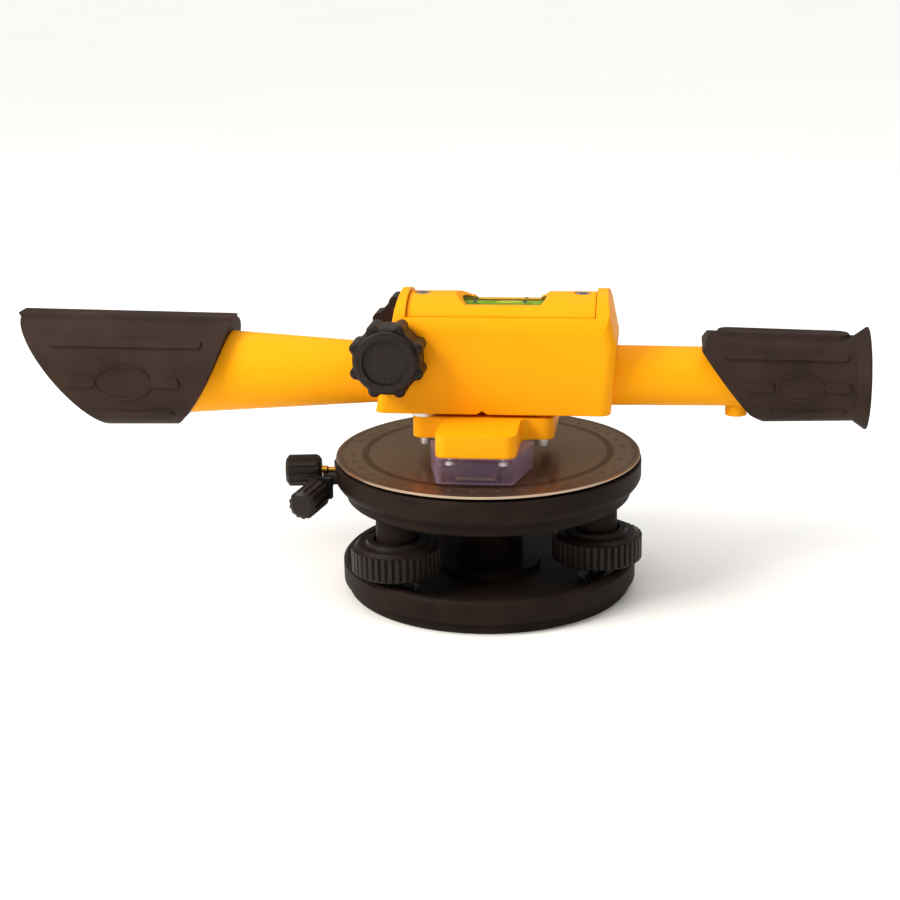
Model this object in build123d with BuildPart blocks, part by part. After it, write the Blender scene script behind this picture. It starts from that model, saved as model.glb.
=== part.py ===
from build123d import *
import math
import os

# Builder's level: a sighting telescope with a tubular vial, turning on a horizontal circle over
# a three-screw levelling head. Millimetres, +Z up. The origin is the centre of the tripod thread
# in the underside of the base, and the telescope looks along -X.

os.makedirs("parts", exist_ok=True)

# ---------- fits and clearances ----------
running_gap = 0.05        # radial gap of a shaft or a slide in its bore
seat_gap = 0.02           # gap of a pushed-in part that does not move
open_gap = 0.3            # gap between faces that pass each other

# ---------- base ----------
base_radius = 56.0
base_height = 13.0
base_floor = 8.0          # height of the recessed floor
base_lip_inset = 2.0
base_lip_height = 3.5
base_rim_width = 3.6
hub_flange_radius = 20.0
hub_flange_height = 2.0
hub_radius = 13.0
hub_height = 10.0         # hub above the recessed floor
thread_radius = 6.75      # tapping radius of the 5/8-11 tripod thread
seat_recess_depth = 2.0
seat_spigot_radius = 10.0

# ---------- levelling screws ----------
screw_inset = 12.5        # levelling screws, in from the edge of the base
screw_angles = {"left": -135.5, "right": -15.5, "rear": 104.5}
foot_radius = 4.0
foot_depth = 2.4          # how far the foot's centre lies below the recessed floor
foot_neck_radius = 2.6
keeper_length = 19.0
keeper_width = 12.0
keeper_thickness = 1.4
keeper_screw_radius = 1.25
keeper_head_radius = 2.2
keeper_screw_spread = 6.6
wheel_lift = 2.0          # gap between the rim of the base and the wheel
wheel_radius = 16.8
wheel_height = 11.5
wheel_rib_height = 0.9
wheel_rib_count = 40
wheel_ring_radius = 11.0
wheel_ring_height = 1.2
wheel_pocket_depth = 5.6
stem_radius = 4.0
stem_top_above_floor = 3.0

# ---------- centre ball ----------
ball_radius = 8.0
ball_center_z = 30.0
ball_band = 2.5           # half the height of the open band round the ball

# ---------- levelling head ----------
head_bottom = 37.0
head_lip_inset = 4.0
head_lip_width = 3.0
head_lip_height = 1.5
head_floor_thickness = 2.5
head_margin = 0.5         # head beyond the edge of the circle
head_cove = 4.0           # radius of the hollow under the side wall
head_side_height = 6.5
head_wall = 3.5
head_hub_radius = 14.0
post_boss_radius = 7.5
post_boss_bottom = 25.0
bush_wall = 1.35
bush_play = 0.65          # lets the head lean round the screw
bush_flange = 1.2
bearing_rib_radius = 34.0
bearing_rib_width = 4.0
bearing_rib_height = 9.4

# ---------- vertical axis ----------
post_flange_radius = 21.0
post_flange_thickness = 2.0
post_spigot_radius = 5.0
post_spigot_length = 1.4
post_radius = 7.0
post_length = 17.0
post_thread_radius = 4.0
post_thread_length = 5.2
post_screw_circle = 18.2
sleeve_radius = 11.0
sleeve_flange_radius = 17.0
sleeve_flange_thickness = 3.0
sleeve_pocket_radius = 9.5
sleeve_spigot_length = 3.5
nut_height = 4.0
nut_flange_thickness = 1.0

# ---------- horizontal circle ----------
circle_radius = 57.5
circle_thickness = 1.7
circle_edge = 1.1
friction_washer_thickness = 0.9

# ---------- clamp and slow motion ----------
ring_height = 6.4
ring_wall = 4.45
clamp_angle = 187.5       # direction of the clamp screw seen from above
clamp_boss_reach = 26.0
clamp_boss_width = 9.0
clamp_screw_radius = 1.1
clamp_collar_radius = 1.6
clamp_knob_standoff = 5.2
clamp_knob_length = 13.5
clamp_knob_radius = 6.0
shoe_radius = 2.5
shoe_length = 5.0
shoe_gap = 0.6
tangent_angle = 170.0     # direction of the lug that is the tangent screw's nut
tangent_inset = 0.5       # tangent screw, in from the outside of the head
tangent_height = 41.3
lug_thickness = 6.0
lug_depth = 4.0           # lug beyond the screw's axis
arm_half_width = 5.0
arm_bottom = 42.0
arm_top = 44.6
arm_overhang = 4.8
shoulder_reach = 10.4     # joins the arm to the ear outside the wall
slow_motion = 2.5         # degrees each way
tangent_screw_radius = 1.5
tangent_play = 0.3        # lets the screw lean in the lug
tangent_collar_radius = 2.2
tangent_collar = 1.2
clip_radius = 2.4
tangent_knob_radius = 5.5
tangent_knob_length = 16.8
ear_start = 26.6          # near ear of the arm, measured along the screw from the lug
ear_thickness = 2.4
ear_half_width = 4.5
ear_top = 44.2
ear_bottom = 36.2
knob_flutes = 14
flute_radius = 0.75

# ---------- standard ----------
standard_bottom = 62.7
standard_thickness = 8.0
standard_half_length = 26.2
standard_half_width = 18.0
nose_half_width = 14.5
nose_lip = 1.5            # window in front of the nose
nose_fillet = 4.0
window_height = 9.1
window_inset = 12.5       # front of the window, in from the edge of the circle
window_back = 21.0
window_front_half = 13.7
window_back_half = 19.0
window_wall = 2.0
body_screw_x = 21.5
body_screw_y = 12.3
body_screw_radius = 2.0
body_screw_head = 2.6
body_screw_head_height = 3.4
washer_thickness = 1.3
washer_radius = 5.8
pad_radius = 2.6

# ---------- telescope ----------
optical_above_floor = 11.0        # optical axis above the underside of the body
body_half_width = 18.5
body_height = 43.2
body_left_bottom = -40.0
body_left_top = -31.0
body_right_bottom = 46.8
body_right_middle = 48.8
body_right_middle_height = 25.0
body_right_top = 45.2
body_arch_start = 30.0            # where the sides turn into the arched top
body_corner = 4.0
body_wall = 2.8
end_wall = 3.0
ledge_height = 35.5               # seam between body and vial cover
tube_wall = 2.6
front_tube_end = -145.0
front_tube_radius = 18.45
front_tube_root = -36.0
front_tube_root_radius = 11.0
rear_tube_root = 44.0
rear_tube_root_radius = 11.2
rear_tube_end = 106.0
rear_tube_radius = 10.6
erector_bore_radius = 8.35
reticle_boss_x = 92.4
reticle_boss_radius = 4.0
reticle_boss_drop = 14.3

# ---------- vial ----------
cover_side_inset = 1.9
cover_drop = 1.2                  # crown of the cover below the crown of the end walls
cover_wall = 1.8
cover_screw_left = -23.3
cover_screw_right = 35.9
cover_screw_head = 2.7
cover_recess_radius = 3.3
cover_recess_depth = 1.4
pillar_radius = 3.6
view_left_top = -11.0
view_left_bottom = -6.1
view_right_bottom = 20.9
view_right_top = 24.2
view_depth = 3.2
view_far_depth = 4.8              # the slot is lower on the far side, which lights the vial
vial_radius = 7.5
vial_wall = 1.3
vial_left = -15.0
vial_right = 29.0
vial_above_view = 1.2
plug_length = 3.0
carrier_wall = 1.7
carrier_foot = 2.0
carrier_foot_reach = 13.2
carrier_screw_radius = 1.0

# ---------- objective ----------
objective_radius = 14.2
objective_lens_thickness = 3.2
cell_length = 12.0
cell_lip = 1.5
cell_flange_height = 1.5

# ---------- focusing ----------
knob_x = -33.0
knob_above_axis = 11.5
gear_module = 0.5
pinion_teeth = 14
pinion_width = 4.0
pressure_angle = 20.0
tooth_addendum = 0.42
tooth_dedendum = 0.62
tooth_backlash = 0.10
slide_radius = 7.5
slide_wall = 1.0
slide_left = -52.0
slide_length = 38.0
focus_travel = 12.0               # each way
rack_width = 4.0
rack_base = 0.9
rack_side_gap = 0.25
focus_shaft_radius = 2.0
pinion_boss_radius = 6.6
pinion_chamber_gap = 0.4
focus_bush_length = 7.0
focus_bush_flange = 1.0
guide_wall = 2.0
guide_end = -4.0
knob_back = 20.0
knob_depth = 13.5
knob_lobes = 8
knob_envelope = 14.2
lobe_radius = 2.3
knob_core = 12.3
knob_ring_radius = 11.4
knob_ring_depth = 2.2
knob_recess_radius = 8.4
knob_recess_depth = 1.2

# ---------- eyepiece ----------
erector_left = 16.0
erector_length = 46.0
erector_wall = 1.2
erector_lens_thickness = 3.0
reticle_thickness = 1.2
reticle_ring_length = 5.0
reticle_ring_radius = 7.6
reticle_screw_radius = 1.2
barrel_spigot_length = 10.0
barrel_gap = 2.0
barrel_length = 19.0
barrel_radius = 12.2
barrel_wall = 1.6
barrel_grooves = 24
eye_lens_radius = 6.6
eye_lens_thickness = 3.0

# ---------- rubber parts ----------
shade_front_radius = 21.8
shade_rear_radius = 20.4
shade_front_x = -180.0
shade_rear_x = -93.0
shade_wall = 2.7
shade_front_middle = -161.3       # where the slanted mouth crosses the optical axis
shade_front_slant = 0.775
shade_rear_top = -95.6
shade_rear_middle = -102.8
shade_rear_bottom = -118.7
eyecup_left_x = 79.0
eyecup_left_radius = 17.0
eyecup_right_radius = 15.6
eyecup_flare_x = 134.2
eyecup_end_x = 139.0
eyecup_flare_radius = 18.6
eyecup_chamber_radius = 13.4
eyecup_mouth_radius = 16.6
rib_height = 0.9
rib_width = 3.4
eyecup_rib_width = 2.9
rib_taper = 25.0
side_rib_angle = 40.0
crown_rib_width = 8.5
shade_oval_x = -134.6
shade_oval_length = 22.0
shade_oval_width = 13.4
eyecup_oval_x = 114.2
eyecup_oval_length = 17.6
eyecup_oval_width = 10.4
oval_height = 0.5
oval_rim = 0.9
oval_dish = 0.35

# ---------- places worked out from the sizes above ----------
head_radius = circle_radius + head_margin
head_lip_radius = head_radius - head_lip_inset
base_lip_radius = base_radius - base_lip_inset
screw_circle = base_radius - screw_inset
tangent_reach = head_radius - tangent_inset
arm_end = head_radius + arm_overhang
clamp_knob_start = head_radius + clamp_knob_standoff
window_front = circle_radius - window_inset
nose_reach = window_front - nose_lip
hub_top = base_floor + hub_height
foot_z = base_floor - foot_depth
wheel_bottom = base_height + wheel_lift
wheel_top = wheel_bottom + wheel_height
head_floor_bottom = head_bottom + head_lip_height
head_floor = head_floor_bottom + head_floor_thickness
head_cove_bottom = head_floor_bottom + 2.0
head_side_bottom = head_cove_bottom + head_cove
head_top = head_side_bottom + head_side_height
ball_seat_top = ball_center_z - ball_band
head_hub_bottom = ball_center_z + ball_band
post_base = head_floor + post_flange_thickness
post_top = post_base + post_length
bearing_rib_top = head_floor + bearing_rib_height
circle_bottom = bearing_rib_top + friction_washer_thickness
circle_top = circle_bottom + circle_thickness
ring_top = post_base + ring_height
clamp_height = post_base + 3.5
standard_top = standard_bottom + standard_thickness
body_bottom = standard_top + washer_thickness
optical_z = body_bottom + optical_above_floor
body_top = body_bottom + body_height
ledge_z = body_bottom + ledge_height
arch_z = body_bottom + body_arch_start
cover_top = body_top - cover_drop
view_z = cover_top - view_depth
vial_z = view_z + vial_above_view - vial_radius
knob_z = optical_z + knob_above_axis
pitch_radius = gear_module * pinion_teeth / 2
pitch_z = knob_z - pitch_radius
bush_radius = stem_radius + bush_play + bush_wall

optical_axis = Axis((0, 0, optical_z), (1, 0, 0))
focus_axis = Axis((knob_x, 0, knob_z), (0, 1, 0))
optical_plane = Plane(origin=(0, 0, optical_z), x_dir=(1, 0, 0), z_dir=(0, -1, 0))
side_plane = Plane(origin=(0, 0, 0), x_dir=(1, 0, 0), z_dir=(0, -1, 0))
focus_plane = Plane(origin=(knob_x, 0, knob_z), x_dir=(0, 1, 0), z_dir=(1, 0, 0))


# ---------- helpers ----------
def polar(radius, angle, z=0.0):
    """Point at a distance from the vertical axis, in a direction seen from above."""
    turn = math.radians(angle)
    return (radius * math.cos(turn), radius * math.sin(turn), z)


def upright_plane(x, y):
    """Plane through (x, y) whose own axes are outwards along X and up."""
    return Plane(origin=(x, y, 0), x_dir=(1, 0, 0), z_dir=(0, -1, 0))


def turned_upright(outline, x=0.0, y=0.0):
    """Turned piece on a vertical axis; the outline is (radius, height)."""
    with BuildPart() as piece:
        with BuildSketch(upright_plane(x, y)):
            with BuildLine():
                Polyline(*outline, close=True)
            make_face()
        revolve(axis=Axis((x, y, 0), (0, 0, 1)))
    return piece


def turned_optical(outline):
    """Turned piece on the optical axis; the outline is (x, radius)."""
    with BuildPart() as piece:
        with BuildSketch(optical_plane):
            with BuildLine():
                Polyline(*outline, close=True)
            make_face()
        revolve(axis=optical_axis)
    return piece


def turned_cross(outline):
    """Turned piece on the focusing shaft; the outline is (y, radius)."""
    with BuildPart() as piece:
        with BuildSketch(focus_plane):
            with BuildLine():
                Polyline(*outline, close=True)
            make_face()
        revolve(axis=focus_axis)
    return piece


def turned_along(outline, start, direction):
    """Turned piece on any level axis; the outline is (distance, radius)."""
    with BuildPart() as piece:
        plane = Plane(origin=start, x_dir=direction, z_dir=(direction[1], -direction[0], 0))
        with BuildSketch(plane):
            with BuildLine():
                Polyline(*outline, close=True)
            make_face()
        revolve(axis=Axis(start, direction))
    return piece


def screw_set(points, shank_radius, shank_length, head_radius, head_height, head_up=True):
    """Cheese-head screws at (x, y, z of the face under the head)."""
    up = 1 if head_up else -1
    with BuildPart() as screws:
        for x, y, z in points:
            with BuildSketch(Plane(origin=(x, y, z), z_dir=(0, 0, up))):
                Circle(head_radius)
            extrude(amount=head_height)
            with BuildSketch(Plane(origin=(x, y, z), z_dir=(0, 0, up))):
                Circle(shank_radius)
            extrude(amount=-shank_length)
    return screws


def save(piece, label):
    """Name a finished piece and write its file."""
    piece.part.label = label
    export_step(piece.part, f"parts/{label}.step")


def front_tube_at(x):
    """Outer radius of the front tube."""
    share = (front_tube_root - x) / (front_tube_root - front_tube_end)
    return front_tube_root_radius + share * (front_tube_radius - front_tube_root_radius)


def rear_tube_at(x):
    """Outer radius of the rear tube."""
    share = (x - rear_tube_root) / (rear_tube_end - rear_tube_root)
    return rear_tube_root_radius + share * (rear_tube_radius - rear_tube_root_radius)


# ---------- base ----------
foot_spots = {name: polar(screw_circle, angle, foot_z) for name, angle in screw_angles.items()}

with BuildPart() as base_plate:
    with BuildSketch(upright_plane(0, 0)):
        with BuildLine():
            Polyline(
                (thread_radius, 0),
                (base_lip_radius - 1, 0),
                (base_lip_radius, 1),
                (base_lip_radius, base_lip_height),
                (base_radius, base_lip_height + 1.2),
                (base_radius, base_height - 1.2),
                (base_radius - 1.2, base_height),
                (base_radius - base_rim_width, base_height),
                (base_radius - base_rim_width - 1.2, base_height - 1.2),
                (base_radius - base_rim_width - 2, base_floor),
                (hub_flange_radius, base_floor),
                (hub_flange_radius - 0.5, base_floor + hub_flange_height),
                (hub_radius, base_floor + hub_flange_height),
                (hub_radius, hub_top),
                (seat_spigot_radius, hub_top),
                (seat_spigot_radius, hub_top - seat_recess_depth),
                (thread_radius, hub_top - seat_recess_depth),
                close=True,
            )
        make_face()
    revolve(axis=Axis.Z)
    with Locations(*foot_spots.values()):
        Sphere(foot_radius + running_gap, mode=Mode.SUBTRACT)
    for spot in foot_spots.values():
        with BuildSketch(Plane(origin=spot, z_dir=(0, 0, 1))):
            Circle(foot_radius + running_gap)
        extrude(amount=foot_depth, mode=Mode.SUBTRACT)
save(base_plate, "base_plate")

keeper_hole = foot_neck_radius + 0.7
with BuildPart() as foot_keepers:
    for name, spot in foot_spots.items():
        across = polar(1, screw_angles[name] + 90)
        keeper_plane = Plane(origin=(spot[0], spot[1], base_floor), x_dir=across, z_dir=(0, 0, 1))
        with BuildSketch(keeper_plane):
            SlotOverall(keeper_length, keeper_width)
            Circle(keeper_hole, mode=Mode.SUBTRACT)
            with Locations((keeper_screw_spread, 0), (-keeper_screw_spread, 0)):
                Circle(keeper_screw_radius + seat_gap, mode=Mode.SUBTRACT)
        extrude(amount=keeper_thickness)
save(foot_keepers, "foot_keepers")

keeper_points = []
for name, spot in foot_spots.items():
    for turn in (90, -90):
        shift = polar(keeper_screw_spread, screw_angles[name] + turn)
        keeper_points.append((spot[0] + shift[0], spot[1] + shift[1], base_floor + keeper_thickness))
keeper_screws = screw_set(
    keeper_points, keeper_screw_radius, keeper_thickness, keeper_head_radius, 1.3
)
save(keeper_screws, "keeper_screws")

with BuildPart() as ball_seat:
    with BuildSketch(upright_plane(0, 0)):
        with BuildLine():
            Polyline(
                (0, hub_top - seat_recess_depth),
                (seat_spigot_radius - seat_gap, hub_top - seat_recess_depth),
                (seat_spigot_radius - seat_gap, hub_top),
                (hub_radius - 0.4, hub_top),
                (hub_radius - 0.4, ball_seat_top - 1),
                (hub_radius - 1.4, ball_seat_top),
                (0, ball_seat_top),
                close=True,
            )
        make_face()
    revolve(axis=Axis.Z)
    with Locations((0, 0, ball_center_z)):
        Sphere(ball_radius + running_gap, mode=Mode.SUBTRACT)
save(ball_seat, "ball_seat")

with BuildPart() as center_ball:
    with Locations((0, 0, ball_center_z)):
        Sphere(ball_radius)
save(center_ball, "center_ball")


# ---------- levelling screws ----------
def level_wheel(x, y):
    """Ribbed hand wheel with a pocket that the post of the head sinks into."""
    core = wheel_radius - wheel_rib_height
    pocket = post_boss_radius + 1.1
    with BuildPart() as wheel:
        with BuildSketch(upright_plane(x, y)):
            with BuildLine():
                Polyline(
                    (stem_radius, wheel_bottom),
                    (core - 1.2, wheel_bottom),
                    (core, wheel_bottom + 1.2),
                    (core, wheel_top - 1.6),
                    (core - 1.6, wheel_top - 0.4),
                    (wheel_ring_radius + 0.6, wheel_top - 0.4),
                    (wheel_ring_radius, wheel_top + wheel_ring_height),
                    (pocket, wheel_top + wheel_ring_height),
                    (pocket, wheel_top - wheel_pocket_depth),
                    (stem_radius, wheel_top - wheel_pocket_depth),
                    close=True,
                )
            make_face()
        revolve(axis=Axis((x, y, 0), (0, 0, 1)))
        pitch = 360 / wheel_rib_count
        with BuildSketch(Plane(origin=(x, y, wheel_bottom + 1.2), z_dir=(0, 0, 1))):
            with BuildLine():
                corners = []
                for rib in range(wheel_rib_count):
                    turn = rib * pitch
                    corners.append(polar(core - 0.1, turn - 0.45 * pitch)[:2])
                    corners.append(polar(wheel_radius, turn - 0.25 * pitch)[:2])
                    corners.append(polar(wheel_radius, turn + 0.25 * pitch)[:2])
                Polyline(*corners, close=True)
            make_face()
            Circle(core - 1, mode=Mode.SUBTRACT)
        extrude(amount=wheel_height - 2.8)
    return wheel


def level_stem(x, y):
    """Steel screw with a ball foot."""
    cap_angle = math.degrees(math.asin(foot_neck_radius / foot_radius))
    neck_z = foot_z + foot_radius * math.cos(math.radians(cap_angle))
    with BuildPart() as stem:
        with BuildSketch(upright_plane(x, y)):
            with BuildLine():
                CenterArc((0, foot_z), foot_radius, -90, 180 - cap_angle)
                Polyline(
                    (foot_neck_radius, neck_z),
                    (foot_neck_radius, wheel_bottom - 1),
                    (stem_radius, wheel_bottom),
                    (stem_radius, head_floor + stem_top_above_floor - 0.8),
                    (stem_radius - 0.8, head_floor + stem_top_above_floor),
                    (0, head_floor + stem_top_above_floor),
                    (0, foot_z - foot_radius),
                )
            make_face()
        revolve(axis=Axis((x, y, 0), (0, 0, 1)))
    return stem


for name, spot in foot_spots.items():
    save(level_wheel(spot[0], spot[1]), f"level_wheel_{name}")
    save(level_stem(spot[0], spot[1]), f"level_stem_{name}")

# ---------- levelling head ----------
tangent_unit = polar(1, tangent_angle + 90)
tangent_radial = polar(1, tangent_angle)
clamp_unit = polar(1, clamp_angle)
swing = head_radius * math.sin(math.radians(slow_motion))
arm_window = arm_half_width + swing + 0.5
window_top = clamp_height + clamp_screw_radius + 0.5

with BuildPart() as head_cup:
    with BuildSketch(upright_plane(0, 0)):
        with BuildLine():
            Polyline(
                (head_lip_radius, head_cove_bottom),
                (head_lip_radius, head_bottom + 0.6),
                (head_lip_radius - 0.6, head_bottom),
                (head_lip_radius - head_lip_width, head_bottom),
                (head_lip_radius - head_lip_width - 0.5, head_floor_bottom),
                (head_hub_radius, head_floor_bottom),
                (head_hub_radius, head_hub_bottom + 1),
                (head_hub_radius - 1, head_hub_bottom),
                (0, head_hub_bottom),
                (0, head_floor),
                (head_radius - head_wall, head_floor),
                (head_radius - head_wall, head_top),
                (head_radius - 0.6, head_top),
                (head_radius, head_top - 0.6),
                (head_radius, head_side_bottom),
            )
            RadiusArc(
                (head_radius, head_side_bottom),
                (head_lip_radius, head_cove_bottom),
                math.hypot(head_lip_inset, head_cove),
            )
        make_face()
    revolve(axis=Axis.Z)
    # lug that the tangent screw is threaded through, cast on the side wall
    lug_bottom = tangent_height - lug_depth
    lug_top = tangent_height + lug_depth
    with BuildSketch(Plane(origin=(0, 0, lug_bottom), x_dir=tangent_radial, z_dir=(0, 0, 1))):
        with Locations(((head_radius - head_wall + tangent_reach + lug_depth) / 2, 0)):
            Rectangle(tangent_reach + lug_depth - head_radius + head_wall, lug_thickness)
    extrude(amount=lug_top - lug_bottom)
    # posts that reach down to the levelling wheels
    for spot in foot_spots.values():
        with BuildSketch(Plane(origin=(spot[0], spot[1], post_boss_bottom), z_dir=(0, 0, 1))):
            Circle(post_boss_radius)
        extrude(amount=head_floor_bottom - post_boss_bottom)
    # inside of the cup
    with BuildSketch(Plane.XY.offset(head_floor)):
        Circle(head_radius - head_wall)
    extrude(amount=head_top - head_floor, mode=Mode.SUBTRACT)
    with BuildSketch(Plane.XY.offset(head_floor)):
        Circle(bearing_rib_radius)
        Circle(bearing_rib_radius - bearing_rib_width, mode=Mode.SUBTRACT)
    extrude(amount=bearing_rib_height)
    # gap in the rib for the clamp screw and the arm
    with BuildSketch(Plane.XY.offset(head_floor)):
        with BuildLine():
            gap_reach = bearing_rib_radius + 6
            gap_start = polar(gap_reach, clamp_angle - 18)[:2]
            gap_end = polar(gap_reach, clamp_angle + 18)[:2]
            Polyline((0, 0), gap_start, gap_end, close=True)
        make_face()
    extrude(amount=bearing_rib_height, mode=Mode.SUBTRACT)
    # spigot hole, ball socket and screw holes
    with BuildSketch(Plane.XY.offset(head_floor)):
        Circle(post_spigot_radius)
    extrude(amount=-post_spigot_length, mode=Mode.SUBTRACT)
    with Locations((0, 0, ball_center_z)):
        Sphere(ball_radius + running_gap, mode=Mode.SUBTRACT)
    for spot in foot_spots.values():
        with BuildSketch(Plane(origin=(spot[0], spot[1], post_boss_bottom), z_dir=(0, 0, 1))):
            Circle(bush_radius)
        extrude(amount=head_floor - post_boss_bottom, mode=Mode.SUBTRACT)
    # window in the wall for the arm and the clamp screw
    with BuildSketch(Plane(origin=(0, 0, arm_bottom - 0.6), x_dir=clamp_unit, z_dir=(0, 0, 1))):
        with Locations((head_radius - 1, 0)):
            Rectangle(10, 2 * arm_window)
    extrude(amount=window_top - arm_bottom + 0.6, mode=Mode.SUBTRACT)
    # hole of the tangent screw in its lug
    lug_face = [tangent_reach * tangent_radial[i] - 2 * lug_thickness * tangent_unit[i] for i in (0, 1)]
    with BuildSketch(Plane(origin=(*lug_face, tangent_height), z_dir=tangent_unit)):
        Circle(tangent_screw_radius + tangent_play)
    extrude(amount=2 * lug_thickness + ear_start, mode=Mode.SUBTRACT)
save(head_cup, "head_cup")

with BuildPart() as screw_bushes:
    for spot in foot_spots.values():
        with BuildSketch(Plane(origin=(spot[0], spot[1], post_boss_bottom + 1), z_dir=(0, 0, 1))):
            Circle(bush_radius - seat_gap)
            Circle(stem_radius + bush_play, mode=Mode.SUBTRACT)
        extrude(amount=head_floor - post_boss_bottom - 1)
        with BuildSketch(Plane(origin=(spot[0], spot[1], head_floor), z_dir=(0, 0, 1))):
            Circle(bush_radius + 1.6)
            Circle(stem_radius + bush_play, mode=Mode.SUBTRACT)
        extrude(amount=bush_flange)
save(screw_bushes, "screw_bushes")

# ---------- vertical axis ----------
with BuildPart() as center_post:
    with BuildSketch(upright_plane(0, 0)):
        with BuildLine():
            Polyline(
                (0, head_floor - post_spigot_length + 0.1),
                (post_spigot_radius - seat_gap, head_floor - post_spigot_length + 0.1),
                (post_spigot_radius - seat_gap, head_floor),
                (post_flange_radius, head_floor),
                (post_flange_radius, post_base),
                (post_radius, post_base),
                (post_radius, post_top),
                (post_thread_radius, post_top),
                (post_thread_radius, post_top + post_thread_length - 0.6),
                (post_thread_radius - 0.6, post_top + post_thread_length),
                (0, post_top + post_thread_length),
                close=True,
            )
        make_face()
    revolve(axis=Axis.Z)
    with Locations((0, 0, post_base)):
        with PolarLocations(post_screw_circle, 4, start_angle=45):
            Hole(1.5, depth=post_flange_thickness)
save(center_post, "center_post")

post_screw_points = [polar(post_screw_circle, turn, post_base) for turn in (45, 135, 225, 315)]
post_screws = screw_set(post_screw_points, 1.45, post_flange_thickness, 2.4, 1.5)
save(post_screws, "post_screws")

with BuildPart() as post_nut:
    with BuildSketch(Plane.XY.offset(post_top)):
        Circle(sleeve_pocket_radius - open_gap)
        Circle(post_thread_radius + seat_gap, mode=Mode.SUBTRACT)
    extrude(amount=nut_flange_thickness)
    with BuildSketch(Plane.XY.offset(post_top + nut_flange_thickness)):
        RegularPolygon(sleeve_pocket_radius - 1.2, 6)
        Circle(post_thread_radius + seat_gap, mode=Mode.SUBTRACT)
    extrude(amount=nut_height - nut_flange_thickness)
save(post_nut, "post_nut")

sleeve_screw_circle = (sleeve_radius + sleeve_flange_radius) / 2
sleeve_flange_bottom = standard_bottom - sleeve_flange_thickness
with BuildPart() as spindle_sleeve:
    with BuildSketch(upright_plane(0, 0)):
        with BuildLine():
            Polyline(
                (post_radius + running_gap, post_base),
                (sleeve_radius, post_base),
                (sleeve_radius, sleeve_flange_bottom),
                (sleeve_flange_radius, sleeve_flange_bottom),
                (sleeve_flange_radius, standard_bottom),
                (sleeve_radius, standard_bottom),
                (sleeve_radius, standard_bottom + sleeve_spigot_length),
                (sleeve_pocket_radius, standard_bottom + sleeve_spigot_length),
                (sleeve_pocket_radius, post_top),
                (post_radius + running_gap, post_top),
                close=True,
            )
        make_face()
    revolve(axis=Axis.Z)
    with BuildSketch(Plane.XY.offset(sleeve_flange_bottom)):
        with PolarLocations(sleeve_screw_circle, 4, start_angle=45):
            Circle(1.5)
    extrude(amount=sleeve_flange_thickness, mode=Mode.SUBTRACT)
save(spindle_sleeve, "spindle_sleeve")

sleeve_screw_points = [
    polar(sleeve_screw_circle, turn, sleeve_flange_bottom) for turn in (45, 135, 225, 315)
]
sleeve_screws = screw_set(sleeve_screw_points, 1.45, sleeve_flange_thickness + 4, 2.4, 1.8, False)
save(sleeve_screws, "sleeve_screws")

# ---------- horizontal circle ----------
friction_washer = turned_upright([
    (bearing_rib_radius - bearing_rib_width + 0.2, bearing_rib_top),
    (bearing_rib_radius - 0.2, bearing_rib_top),
    (bearing_rib_radius - 0.2, circle_bottom),
    (bearing_rib_radius - bearing_rib_width + 0.2, circle_bottom),
])
save(friction_washer, "friction_washer")

horizontal_circle = turned_upright([
    (sleeve_radius + running_gap, circle_bottom),
    (circle_radius - 3, circle_bottom),
    (circle_radius - 0.4, circle_top - circle_edge),
    (circle_radius, circle_top - circle_edge + 0.3),
    (circle_radius, circle_top - 0.3),
    (circle_radius - 0.3, circle_top),
    (sleeve_radius + running_gap, circle_top),
])
save(horizontal_circle, "horizontal_circle")

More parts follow.
